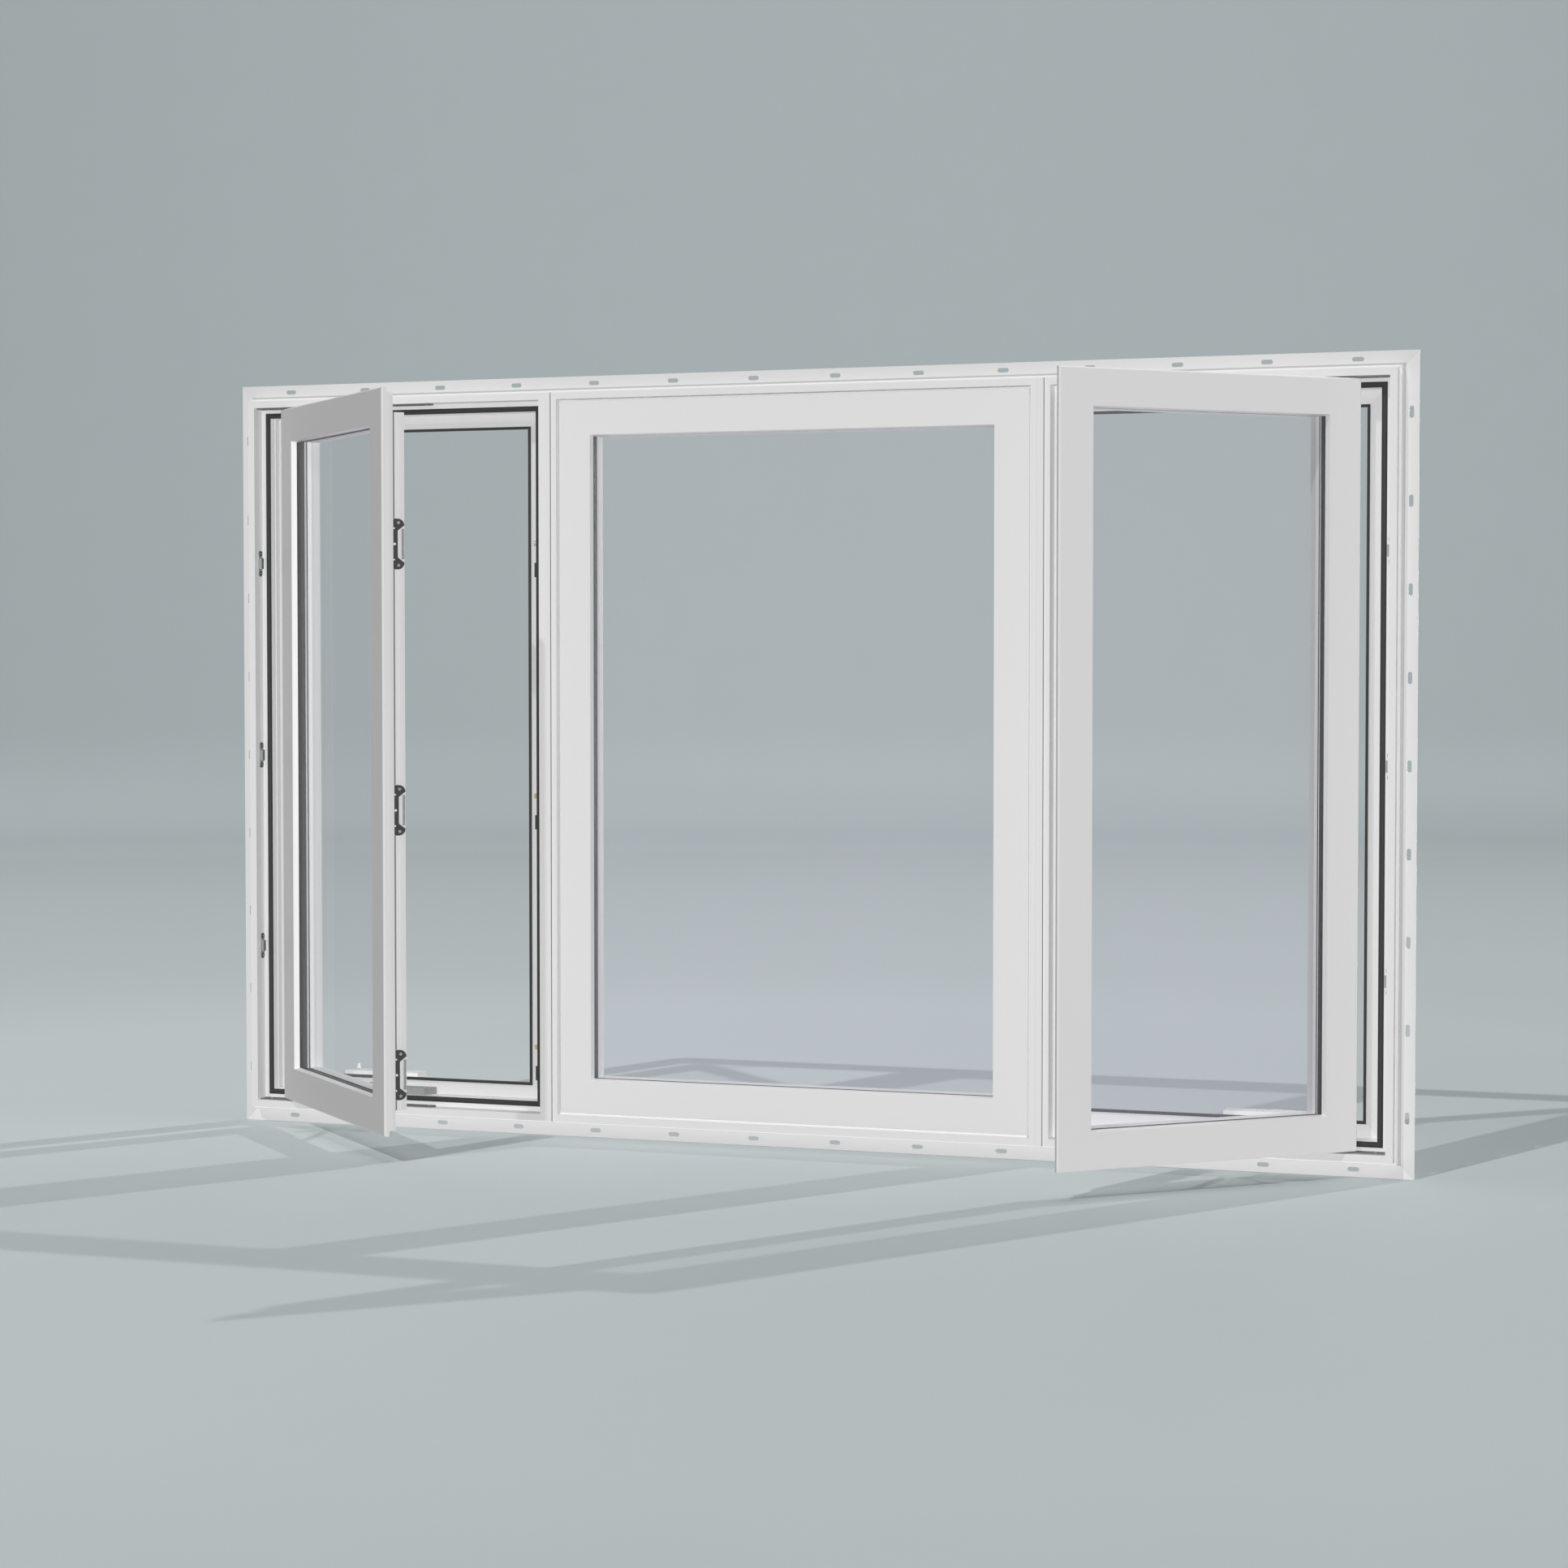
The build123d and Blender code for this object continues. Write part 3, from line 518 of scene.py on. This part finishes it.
paper_finish, tree = new_finish("pale_paper")
where = tree.place()
distance = tree.node("ShaderNodeVectorMath", {"operation": "LENGTH"}, {0: where}, "Value")
outward = {"Fac": distance * (1 / paper_reach)}
shade = tree.node("ShaderNodeValToRGB", {"stops": near_stops + far_stops}, outward, "Color")
near = tree.fade(distance, fall_reach, 0.0)
fall = (tree.part_of(where, "X") * fall_x + tree.part_of(where, "Y") * fall_y) * near
fibre = tree.noise(where, fibre_scale, fibre_detail)
sheet = tree.blend(shade * (1 - fibre_share) + fibre * fibre_share - fall, dark_paper, light_paper)
rough = fibre * fibre_rough + paper_rough
tree.close(tree.surface({"Base Color": sheet, "Roughness": rough, "Specular IOR Level": 0.0}))
paper.data.materials.append(paper_finish)
print("paper in", len(near_stops + far_stops), "shades")

# %% [markdown]
# The small parts have plain finishes of their own: black rubber with a dusty bloom, a dark spacer bar,
# zinc-plated steel with a faint spangle, the same steel duller and painted darker in the hinge tracks as
# painted shade, a grey casting, black coated plates, turned brass, grey pile that paints a shadow line, white
# sealant whiter than the vinyl as a painted highlight, and white enamel. One function serves them all, with
# two colours, a grain size and a roughness.

# %% Finishes of the fittings
patch_size = 0.12
patch_part = 0.6
grain_part = 0.4
patch_rough = 0.15
fitting_relief_depth = 0.0003


def fitting_finish(name, light, dark, grain, rough, metal, relief):
    """A finish of two colours in patches and grain."""
    material, tree = new_finish(name)
    patches = tree.noise(tree.place(), grain * patch_size, fine_detail)
    grains = tree.noise(tree.place(), grain)
    colour = tree.blend(patches * patch_part + grains * grain_part, (*dark, 1), (*light, 1))
    bump = tree.bump(grains, relief, fitting_relief_depth)
    roughness = rough + patches * patch_rough
    sockets = {"Base Color": colour, "Metallic": metal, "Roughness": roughness, "Normal": bump}
    tree.close(tree.surface(sockets))
    return material


# %% [markdown]
# A table then gives each fitting its look. The names are those of the record's material slots, with three
# more for pieces that differ from their slot.

# %% Table of finishes
looks = {
    "spacer_bar": {
        "light": (0.022, 0.025, 0.024), "dark": (0.012, 0.014, 0.013), "grain": 900, "rough": 0.5,
    },
    "black_seal": {
        "light": (0.034, 0.036, 0.034), "dark": (0.015, 0.015, 0.015), "grain": 1200, "rough": 0.7,
    },
    "black_hardware": {
        "light": (0.035, 0.037, 0.035), "dark": (0.018, 0.018, 0.018), "grain": 1500, "rough": 0.4,
    },
    "zinc_steel": {"light": (0.38, 0.39, 0.38), "dark": (0.22, 0.23, 0.22), "grain": 700, "rough": 0.3},
    # Painted shade: the hinge tracks' steel is darker than the zinc steel.
    "shaded_track_steel": {"light": (0.2, 0.21, 0.2), "dark": (0.1, 0.11, 0.1), "grain": 700, "rough": 0.4},
    "grey_casting": {"light": (0.36, 0.38, 0.36), "dark": (0.25, 0.26, 0.25), "grain": 900, "rough": 0.45},
    "brass_rollers": {"light": (0.72, 0.58, 0.33), "dark": (0.5, 0.38, 0.2), "grain": 800, "rough": 0.25},
    "pile_shadow_grey": {"light": (0.2, 0.2, 0.195), "dark": (0.12, 0.12, 0.115), "grain": 2500, "rough": 0.8},
    # Painted highlight: the sealant is whiter than the vinyl, so the ledges show a bright line.
    "highlight_white_sealant": {"light": (0.95, 0.95, 0.95), "dark": (0.91, 0.91, 0.91), "grain": 600, "rough": 0.4},
    "white_hardware": {"light": (0.84, 0.84, 0.83), "dark": (0.8, 0.8, 0.79), "grain": 1100, "rough": 0.22},
}
metals = {"zinc_steel": 0.75, "shaded_track_steel": 0.6, "grey_casting": 0.3, "brass_rollers": 0.9}
reliefs = {"pile_shadow_grey": 0.5, "highlight_white_sealant": 0.08, "white_hardware": 0.08}
plain_relief = 0.2

finishes = {"clear_glass": clear_glass}
for name, look in looks.items():
    metal = metals.get(name, 0.0)
    relief = reliefs.get(name, plain_relief)
    finishes[name] = fitting_finish(name, metal=metal, relief=relief, **look)
print(len(finishes), "finishes of fittings and glass")

# %% [markdown]
# Small fittings repeat many times, so each one is modelled once on the origin, looking up, and copied.
# Three helpers do that. One makes axes at a point that look outward from a surface. One copies a model to
# a list of places, mirrors the copies to the right side of the window and joins them. One gives the piece
# its finish and lets it ride on the window.

# %% Helpers to copy a fitting to its places
mirror_side = Matrix.Scale(-1, 4, (1, 0, 0))
look_right = (1, 0, 0)
look_left = (-1, 0, 0)
look_indoors = (0, 1, 0)
look_outdoors = (0, -1, 0)
look_up = (0, 0, 1)
look_down = (0, 0, -1)


def stand(point, outward, up):
    """Axes at a point: Z looks outward and Y looks up."""
    z = Vector(outward).normalized()
    x = Vector(up).cross(z).normalized()
    axes = Matrix((x, z.cross(x), z)).transposed().to_4x4()
    axes.translation = Vector(point)
    return axes


def spread(model, name, places, sides=2):
    """Copies a model to its places, and for two sides mirrors each copy in X, then joins them all."""
    copies = []
    for place in places:
        for side in (Matrix(), mirror_side)[:sides]:
            copy = model.copy()
            copy.data = model.data.copy()
            copy.data.transform(side @ place)
            if side == mirror_side:
                copy.data.flip_normals()
            bpy.context.collection.objects.link(copy)
            copies.append(copy)
    bpy.ops.object.select_all(action="DESELECT")
    for copy in copies:
        copy.select_set(True)
    bpy.context.view_layer.objects.active = copies[0]
    bpy.ops.object.join()
    piece = bpy.context.object
    piece.name = name
    piece.data.name = name
    print(name, "of", len(copies), "copies,", len(piece.data.polygons), "faces")
    return piece


def dress(piece, slot, finish=None):
    """Gives a piece the finish of a slot, or one of its own, and lets it ride on the window."""
    piece.data.materials.clear()
    piece.data.materials.append(finish or finishes[slot])
    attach(piece, "root")


# %% [markdown]
# Seals and beads go round a light as a ring with mitred corners. A plane of the ring's size is inset by the
# width of the strip and its middle is thrown away, which gives the mitres for nothing. The flat ring is
# then drawn out, and its rim can be rounded.

# %% Helpers for mitred rings
def flat_ring(width, height, band):
    """A mitred flat ring that looks along -Y, with its lower left corner at the origin, left in edit mode."""
    bpy.ops.object.select_all(action="DESELECT")
    bpy.ops.mesh.primitive_plane_add(size=1, rotation=(math.pi / 2, 0, 0))
    ring = bpy.context.object
    bpy.ops.object.transform_apply(location=False, rotation=True, scale=False)
    start_edit(ring)
    bpy.ops.mesh.select_mode(type="FACE")
    bpy.ops.mesh.select_all(action="SELECT")
    bpy.ops.transform.resize(value=(width, 1, height), center_override=(0, 0, 0))
    bpy.ops.transform.translate(value=(width / 2, 0, height / 2))
    bpy.ops.mesh.inset(thickness=band)
    bpy.ops.mesh.delete(type="FACE")
    bpy.ops.mesh.select_all(action="SELECT")
    return ring


def draw_out(depth):
    """Draws the selected faces out along -Y."""
    bpy.ops.mesh.extrude_region_move(TRANSFORM_OT_translate={"value": (0, -depth, 0)})


def round_front(width, steps):
    """Rounds the rim of the selected faces."""
    bpy.ops.mesh.region_to_loop()
    bpy.ops.mesh.bevel(offset=width, segments=steps, affect="EDGES")


# %% [markdown]
# A weatherstrip is a rubber bulb on a flat foot, laid as a ring in the pocket. The ring is drawn out for the
# foot, inset and drawn out again for the bulb, and the bulb's edges are rounded. It stands for the plain
# band of the solid model.

# %% Weatherstrip rings
unit_corner = Vector((-1.0668, -0.0365, 0.0127))
unit_width = 0.6096
unit_height = 1.3208
strip_inset = 0.026
strip_band = 0.0095
strip_foot = 0.0012
strip_shoulder = 0.0014
strip_bulb = 0.0028
strip_round = 0.0024
strip_round_steps = 5
strip_smooth = math.radians(40)
strip_back = 0.0300
strip_width = unit_width - 2 * strip_inset
strip_height = unit_height - 2 * strip_inset

strip = flat_ring(strip_width, strip_height, strip_band)
draw_out(strip_foot)
bpy.ops.mesh.inset(thickness=strip_shoulder)
draw_out(strip_bulb)
round_front(strip_round, strip_round_steps)
end_edit()
bpy.ops.object.shade_smooth_by_angle(angle=strip_smooth)
strip_place = Matrix.Translation(unit_corner + Vector((strip_inset, strip_back, strip_inset)))
strips = spread(strip, "bulb_weatherstrips", [strip_place])
bpy.data.objects.remove(strip)
dress(strips, "black_seal")
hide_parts("weatherstrips")

# %% [markdown]
# The glass belongs to the sashes, and the side sashes stand open. So each sash gets its own axes first: one
# runs along the sash, one into its depth and one up. What is laid out for a shut sash then goes to its
# place by one matrix.

# %% Axes of the sashes
left_along = Vector((math.cos(opening), -math.sin(opening), 0))
left_into = Vector((math.sin(opening), math.cos(opening), 0))
left_corner = Vector((-1.00085, -0.02359, 0.0335))
fixed_corner = Vector((-0.4364, -0.0350, 0.0335))
sash_height = 1.2792
casement_width = 0.568
fixed_width = 0.8728

left_sash = Matrix((left_along, left_into, look_up)).transposed().to_4x4()
left_sash.translation = left_corner
fixed_sash = Matrix.Translation(fixed_corner)
print("left sash stands at", tuple(left_corner))

# %% [markdown]
# A thin black gasket closes the joint between the inner pane and its glazing bead. It shows through the
# glass as a fine dark line round each light. It is the same kind of ring, far thinner, laid on the pane in
# the place of each sash.

# %% Glazing gaskets
bead_edge = 0.061
pane_back = 0.029
gasket_band = 0.0014
gasket_proud = 0.0016
gasket_round = 0.0005
gasket_round_steps = 2


def gasket(width):
    """A gasket ring for one sash, drawn out of the pane towards indoors."""
    ring = flat_ring(width - 2 * bead_edge, sash_height - 2 * bead_edge, gasket_band)
    draw_out(-gasket_proud)
    round_front(gasket_round, gasket_round_steps)
    end_edit()
    return ring


gasket_place = Matrix.Translation((bead_edge, pane_back, bead_edge))
casement_gasket = gasket(casement_width)
fixed_gasket = gasket(fixed_width)
dress(spread(casement_gasket, "casement_gaskets", [left_sash @ gasket_place]), "black_seal")
dress(spread(fixed_gasket, "fixed_gasket", [fixed_sash @ gasket_place], sides=1), "black_seal")
for ring in (casement_gasket, fixed_gasket):
    bpy.data.objects.remove(ring)

# %% [markdown]
# Outdoors a slanting white bead covers the edge of each pane. It starts as the same flat ring on the outer
# pane and is drawn out towards the face of the sash. Then the inner edge of its front is pulled back to the
# outer edge by scaling that loop about the middle of the light, which leaves the slant.

# %% Outer glazing beads
pane_front = 0.010
outer_bead_band = 0.0027
outer_bead_proud = 0.0092
outer_bead_flat = 0.0003


def outer_bead(width):
    """A slanting bead ring for one sash, drawn out of the pane towards outdoors."""
    wide = width - 2 * bead_edge
    tall = sash_height - 2 * bead_edge
    ring = flat_ring(wide, tall, outer_bead_band)
    draw_out(outer_bead_proud)
    reach_x = wide / 2 - outer_bead_band
    reach_z = tall / 2 - outer_bead_band
    slack = outer_bead_flat / 2

    def inner_front(middle, corners):
        inside_x = abs(middle.x - wide / 2) < reach_x + slack
        inside_z = abs(middle.z - tall / 2) < reach_z + slack
        return inside_x and inside_z and middle.y < -outer_bead_proud / 2 - slack

    pick(ring, "EDGE", inner_front)
    pull = outer_bead_band - outer_bead_flat
    grow = ((reach_x + pull) / reach_x, 1, (reach_z + pull) / reach_z)
    bpy.ops.transform.resize(value=grow, center_override=(wide / 2, 0, tall / 2))
    end_edit()
    return ring


outer_place = Matrix.Translation((bead_edge, pane_front, bead_edge))
casement_bead = outer_bead(casement_width)
fixed_bead = outer_bead(fixed_width)
casement_beads = spread(casement_bead, "casement_outer_beads", [left_sash @ outer_place])
fixed_beads = spread(fixed_bead, "fixed_outer_bead", [fixed_sash @ outer_place], sides=1)
for ring in (casement_bead, fixed_bead):
    bpy.data.objects.remove(ring)
for ring in (casement_beads, fixed_beads):
    dress(ring, "white_vinyl", upright_vinyl)

# %% [markdown]
# Screws, buttons, eyelets and rivets all start as a short cylinder whose upper rim is rounded into a dome.
# The faces are picked by the way they look: a top face looks nearly straight up.

# %% Helpers for domed discs
disc_sides = 24
dome_steps = 3
looks_up = 0.9
looks_straight_up = 0.99
near_top = 0.9


def upright_disc(radius, height, sides=disc_sides):
    """A short cylinder that stands on the origin."""
    bpy.ops.object.select_all(action="DESELECT")
    middle = (0, 0, height / 2)
    bpy.ops.mesh.primitive_cylinder_add(vertices=sides, radius=radius, depth=height, location=middle)
    disc = bpy.context.object
    bpy.ops.object.transform_apply(location=True, rotation=False, scale=False)
    return disc


def dome_top(disc, height, rim):
    """Rounds the upper rim of a disc and leaves its top face selected."""
    start_edit(disc)
    pick(disc, "FACE", lambda middle, normal: normal.z > looks_up and middle.z > height * near_top)
    bpy.ops.mesh.bevel(offset=rim, segments=dome_steps, affect="EDGES")
    pick(disc, "FACE", lambda middle, normal: normal.z > looks_straight_up and middle.z > height * near_top)


# %% [markdown]
# The hardware is held by pan-head screws with a cross in the head. The head is a domed disc. The cross is
# cut out by a second shape, a small block whose four sides are drawn out, taken away with a Boolean
# modifier.

# %% Pan-head screw
screw_dome = 0.55
cross_reach = 0.55
cross_width = 0.26
side_middle = 0.4
screw_size = (0.0028, 0.0014)
plate_screw_size = (0.0036, 0.0016)


def cross_cutter(arm, width, top):
    """A block with its four sides drawn out into the arms of a cross."""
    bpy.ops.object.select_all(action="DESELECT")
    bpy.ops.mesh.primitive_cube_add(size=width, location=(0, 0, top))
    cutter = bpy.context.object
    bpy.ops.object.transform_apply(location=True, rotation=False, scale=False)
    start_edit(cutter)
    for look in (look_right, look_left, look_indoors, look_outdoors):
        side = Vector(look)
        pick(cutter, "FACE", lambda middle, normal: normal.dot(side) > looks_up
             and middle.dot(side) > width * side_middle)
        bpy.ops.mesh.extrude_region_move(TRANSFORM_OT_translate={"value": side * (arm - width / 2)})
    end_edit()
    return cutter


def screw_model(radius, height):
    """A domed head with a cross cut into it."""
    head = upright_disc(radius, height)
    dome_top(head, height, height * screw_dome)
    end_edit()
    cutter = cross_cutter(radius * cross_reach, radius * cross_width, height)
    cut = head.modifiers.new("cross", "BOOLEAN")
    cut.object = cutter
    cut.operation = "DIFFERENCE"
    bpy.context.view_layer.objects.active = head
    bpy.ops.object.modifier_apply(modifier="cross")
    bpy.data.objects.remove(cutter)
    return head


screw = screw_model(*screw_size)
plate_screw = screw_model(*plate_screw_size)
print("screws of", len(screw.data.polygons), "faces")

# %% [markdown]
# Two more small models serve many places. A button is a disc with a tall dome and a flat set into its top.
# A strip is a block drawn to its length whose upper edges are rounded, so that it catches a line of light.

# %% Button and strip
button_sides = 16
button_dome = 0.7
button_rim = 0.2
button_smooth = math.radians(50)
strip_edge = 0.5
strip_edge_steps = 2


def button_model(radius, height):
    """A domed button that stands on the origin."""
    disc = upright_disc(radius, height, button_sides)
    dome_top(disc, height, height * button_dome)
    bpy.ops.mesh.inset(thickness=radius * button_rim)
    end_edit()
    bpy.ops.object.shade_smooth_by_angle(angle=button_smooth)
    return disc


def strip_model(length, width, proud):
    """A strip with rounded edges that lies on the origin, its length along Y."""
    bpy.ops.object.select_all(action="DESELECT")
    bpy.ops.mesh.primitive_cube_add(size=1, location=(0, 0, 1 / 2))
    block = bpy.context.object
    bpy.ops.object.transform_apply(location=True, rotation=False, scale=False)
    start_edit(block)
    bpy.ops.mesh.select_all(action="SELECT")
    bpy.ops.transform.resize(value=(width, length, proud), center_override=(0, 0, 0))
    pick(block, "FACE", lambda middle, normal: normal.z > looks_up)
    bpy.ops.mesh.bevel(offset=proud * strip_edge, segments=strip_edge_steps, affect="EDGES")
    end_edit()
    return block


# %% [markdown]
# A keeper is the black plate on the edge of the sash that the lock roller pulls on. It has a screw at each
# end, three white nylon buttons along its outer edge that let the sash slide in, and beside its notch an
# upright steel strip that takes the wear. All of them sit on the sash, so their places are given along
# the sash, into its depth and up it.

# %% Fittings on the keepers
keeper_heights = (0.1337, 0.5909, 1.0481)
keeper_top = 0.532
leg_edge = 0.529
keeper_depth = 0.0423
keeper_screw_drop = 0.0365
button_size = (0.0016, 0.0009)
button_drop = 0.027
button_depth = 0.0342
wide_button_size = (0.0023, 0.0011)
wide_button_depth = 0.0352
wear_depth = 0.0508
wear_length = 0.052
wear_width = 0.0055
wear_proud = 0.0009


def on_sash(across, depth, height):
    """Axes on the lock edge of the left sash, looking away from its hinge."""
    point = left_corner + left_along * across + left_into * depth
    point.z = height
    return stand(point, left_along, look_up)


button = button_model(*button_size)
wide_button = button_model(*wide_button_size)
wear_strip = strip_model(wear_length, wear_width, wear_proud)
screw_places = []
button_places = []
wide_places = []
wear_places = []
for height in keeper_heights:
    wide_places.append(on_sash(keeper_top, wide_button_depth, height))
    wear_places.append(on_sash(leg_edge, wear_depth, height))
    for drop in (-1, 1):
        screw_places.append(on_sash(keeper_top, keeper_depth, height + drop * keeper_screw_drop))
        button_places.append(on_sash(keeper_top, button_depth, height + drop * button_drop))
dress(spread(screw, "keeper_screws", screw_places), "zinc_steel")
dress(spread(button, "keeper_buttons", button_places), "white_hardware")
dress(spread(wide_button, "keeper_middle_buttons", wide_places), "white_hardware")
dress(spread(wear_strip, "keeper_wear_strips", wear_places), "zinc_steel")

# %% [markdown]
# A grey pile strip runs up the lock edge of the sash, close behind its step, and stops short of each
# keeper. It brushes along the frame as the sash shuts, and it is set where it paints the step's shadow as a
# dark upright line. The four lengths between the keepers and the corners are cut from one strip shape.

# %% Pile strips on the lock edges, painting the step's shadow
leg_bottom = 0.0725
leg_top = 1.2737
keeper_reach = 0.044
pile_shadow_depth = 0.0345
pile_width = 0.003
pile_proud = 0.0006

pile_starts = [leg_bottom] + [height + keeper_reach for height in keeper_heights]
pile_ends = [height - keeper_reach for height in keeper_heights] + [leg_top]
for number, (low, high) in enumerate(zip(pile_starts, pile_ends), 1):
    length = strip_model(high - low, pile_width, pile_proud)
    pile = spread(length, f"lock_pile_shadow_line_{number}", [on_sash(leg_edge, pile_shadow_depth, (low + high) / 2)])
    bpy.data.objects.remove(length)
    # A dark grey pile, set to paint the step's shadow line.
    dress(pile, "black_seal", finishes["pile_shadow_grey"])

# %% [markdown]
# A snubber is a small steel plate on the hinge jamb that hooks the sash when it shuts. Its two screws pass
# through dark eyelets. An eyelet is a disc whose top is inset and sunk, and its screw is a white button in
# the hollow.

# %% Eyelets on the snubbers
snubber_heights = (0.3171, 0.6731, 1.0291)
snubber_top_x = -1.0475
track_y = -0.017
eyelet_drop = 0.0182
eyelet_radius = 0.0042
eyelet_height = 0.0012
eyelet_dome = 0.4
eyelet_lip = 0.42
eyelet_sink = 0.7

eyelet = upright_disc(eyelet_radius, eyelet_height)
dome_top(eyelet, eyelet_height, eyelet_height * eyelet_dome)
bpy.ops.mesh.inset(thickness=eyelet_radius * eyelet_lip)
bpy.ops.mesh.extrude_region_move(TRANSFORM_OT_translate={"value": (0, 0, -eyelet_height * eyelet_sink)})
end_edit()
eyelet_places = []
for height in snubber_heights:
    for drop in (-eyelet_drop, eyelet_drop):
        eyelet_places.append(stand((snubber_top_x, track_y, height + drop), look_right, look_up))
dress(spread(eyelet, "snubber_eyelets", eyelet_places), "black_hardware")
dress(spread(button, "snubber_buttons", eyelet_places), "white_hardware")

# %% [markdown]
# The hinge tracks lie on the sill and hang from the head alike, so their screws are placed twice, looking
# up and looking down. The operator's case has four larger screws on its top.

# %% Screws of the tracks and operators
track_floor = 0.0312
track_screws_x = (-1.030, -0.880, -0.770, -0.706)
operator_top = 0.0617
operator_screws_x = (-0.978, -0.905, -0.776, -0.728)
channel_y = 0.009

track_places = []
for x in track_screws_x:
    track_places.append(stand((x, track_y, track_floor), look_up, look_indoors))
    track_places.append(stand((x, track_y, 2 * frame_middle - track_floor), look_down, look_indoors))
operator_places = []
for x in operator_screws_x:
    operator_places.append(stand((x, channel_y, operator_top), look_up, look_indoors))
dress(spread(screw, "track_screws", track_places), "zinc_steel")
dress(spread(plate_screw, "operator_screws", operator_places), "zinc_steel")

# %% [markdown]
# The lock bar runs in guides on the mull side of the frame, and a lever indoors slides it. Each guide and
# each lever plate is held by two screws, one above the other. The lever's screws are white like its plate.

# %% Screws of the guides and levers
guide_heights = (0.0982, 0.5554, 1.0126)
guide_face_x = -0.5002
guide_screw_drop = 0.0085
lever_x = -0.4872
lever_height = 0.3427
lever_face_y = 0.0541
lever_screw_drop = 0.038

guide_places = []
for height in guide_heights:
    for drop in (-guide_screw_drop, guide_screw_drop):
        guide_places.append(stand((guide_face_x, channel_y, height + drop), look_left, look_up))
lever_places = []
for drop in (-lever_screw_drop, lever_screw_drop):
    lever_places.append(stand((lever_x, lever_face_y, lever_height + drop), look_indoors, look_up))
dress(spread(screw, "guide_screws", guide_places), "zinc_steel")
dress(spread(plate_screw, "lever_screws", lever_places), "white_hardware")

# %% [markdown]
# The support arms of the hinges turn on riveted pivots, one below and one above, and so does the operator's
# arm. A rivet is a larger button, a dome with a flat. Now that all copies are made, the models go.

# %% Rivets of the pivots
rivet_size = (0.0044, 0.0012)
support_arm_top = 0.0379
operator_pivot_top = 0.0655
support_pivot = (-0.843, -0.017)
operator_pivot = (-0.8348, 0.009)

rivet = button_model(*rivet_size)
rivet_places = [
    stand((*support_pivot, support_arm_top), look_up, look_indoors),
    stand((*support_pivot, 2 * frame_middle - support_arm_top), look_down, look_indoors),
    stand((*operator_pivot, operator_pivot_top), look_up, look_indoors),
]
dress(spread(rivet, "pivot_rivets", rivet_places), "zinc_steel")
for model in (screw, plate_screw, button, wide_button, wear_strip, eyelet, rivet):
    bpy.data.objects.remove(model)

# %% [markdown]
# Two units meet under each mull cover, and a thin dark strip on both sides of the cover's foot paints the
# shadow in the gap there. It is a thin strip with rounded edges, like the wear strip, stood on the frame's
# face.

# %% Painted shadow lines at the mull covers
mull_x = 0.4572
cover_half = 0.0058
shadow_strip_length = 1.311
shadow_strip_width = 0.0009
shadow_strip_proud = 0.0004
face_y = -0.0365

shadow_strip = strip_model(shadow_strip_length, shadow_strip_width, shadow_strip_proud)
shadow_strip_places = []
for side in (-1, 1):
    shadow_strip_x = -mull_x + side * (cover_half + shadow_strip_width / 2)
    shadow_strip_places.append(stand((shadow_strip_x, face_y, frame_middle), look_outdoors, look_up))
# Painted shadow: the strips take the dark spacer finish.
dress(spread(shadow_strip, "mull_shadow_lines", shadow_strip_places), "spacer_bar")
bpy.data.objects.remove(shadow_strip)

# %% [markdown]
# White sealant closes the level joints that water stands in: along the foot of the fixed sash, and along the
# foot of each unit above the fin. Its white is brighter than the vinyl's, a painted highlight that gives
# these ledges their bright line. All of them are straight strips of one section or the other, so one function
# makes them from a length, a section and a place.

# %% White sealant along the foot
sash_foot_back = -0.0340
sash_foot_height = 0.0321
sash_foot_width = 0.0042
sash_foot_proud = 0.0022
ledge_y = -0.0190
ledge_height = 0.0150
ledge_width = 0.0044
ledge_proud = 0.0016
ledge_gap = 0.004
fixed_unit_width = 0.9144
casement_middle_x = -0.762


def sealant(name, length, width, proud, place, sides):
    """A strip of sealant that lies along the window and looks outdoors."""
    model = strip_model(length, width, proud)
    piece = spread(model, name, [stand(place, look_outdoors, look_right)], sides)
    bpy.data.objects.remove(model)
    # Painted highlight: the sealant's brighter white.
    dress(piece, "white_vinyl", finishes["highlight_white_sealant"])


sash_foot = (0, sash_foot_back, sash_foot_height)
middle_ledge = (0, ledge_y, ledge_height)
side_ledge = (casement_middle_x, ledge_y, ledge_height)
sealant("fixed_sash_sealant", fixed_width, sash_foot_width, sash_foot_proud, sash_foot, 1)
sealant("fixed_unit_sealant", fixed_unit_width - ledge_gap, ledge_width, ledge_proud, middle_ledge, 1)
sealant("casement_unit_sealant", unit_width - ledge_gap, ledge_width, ledge_proud, side_ledge, 2)

# %% [markdown]
# Each solid part takes its finish from the slot that its record names. Vinyl parts take the direction
# that fits their name: stiles and jambs stand, heads, sills and rails lie, and the rails of the open
# sashes lie at the angle of the sash. The frame's bars take the vinyl with painted shade in the pocket, the
# fins have their own with painted shade, and the hinge tracks take the steel painted darker as painted shade.

# %% Finish every solid part
def vinyl_for(node):
    """The vinyl that fits a part's name."""
    if node.endswith("nailing_fin"):
        return fin_vinyl
    if node.endswith("jamb"):
        return frame_upright_vinyl
    if node.endswith(("unit_head", "unit_sill")):
        return frame_level_vinyl
    if node.endswith(("stile", "mull_covers")):
        return upright_vinyl
    if node.startswith("left_sash"):
        return left_rail_vinyl
    if node.startswith("right_sash"):
        return right_rail_vinyl
    return level_vinyl


for subpart in frame["record"]["subparts"]:
    part = nodes[subpart["node"]]
    finish = finishes.get(subpart["material_slot"]) or vinyl_for(part.name)
    # The hinge tracks take the steel painted darker as painted shade.
    if part.name == "hinge_tracks":
        finish = finishes["shaded_track_steel"]
    part.data.materials.clear()
    part.data.materials.append(finish)
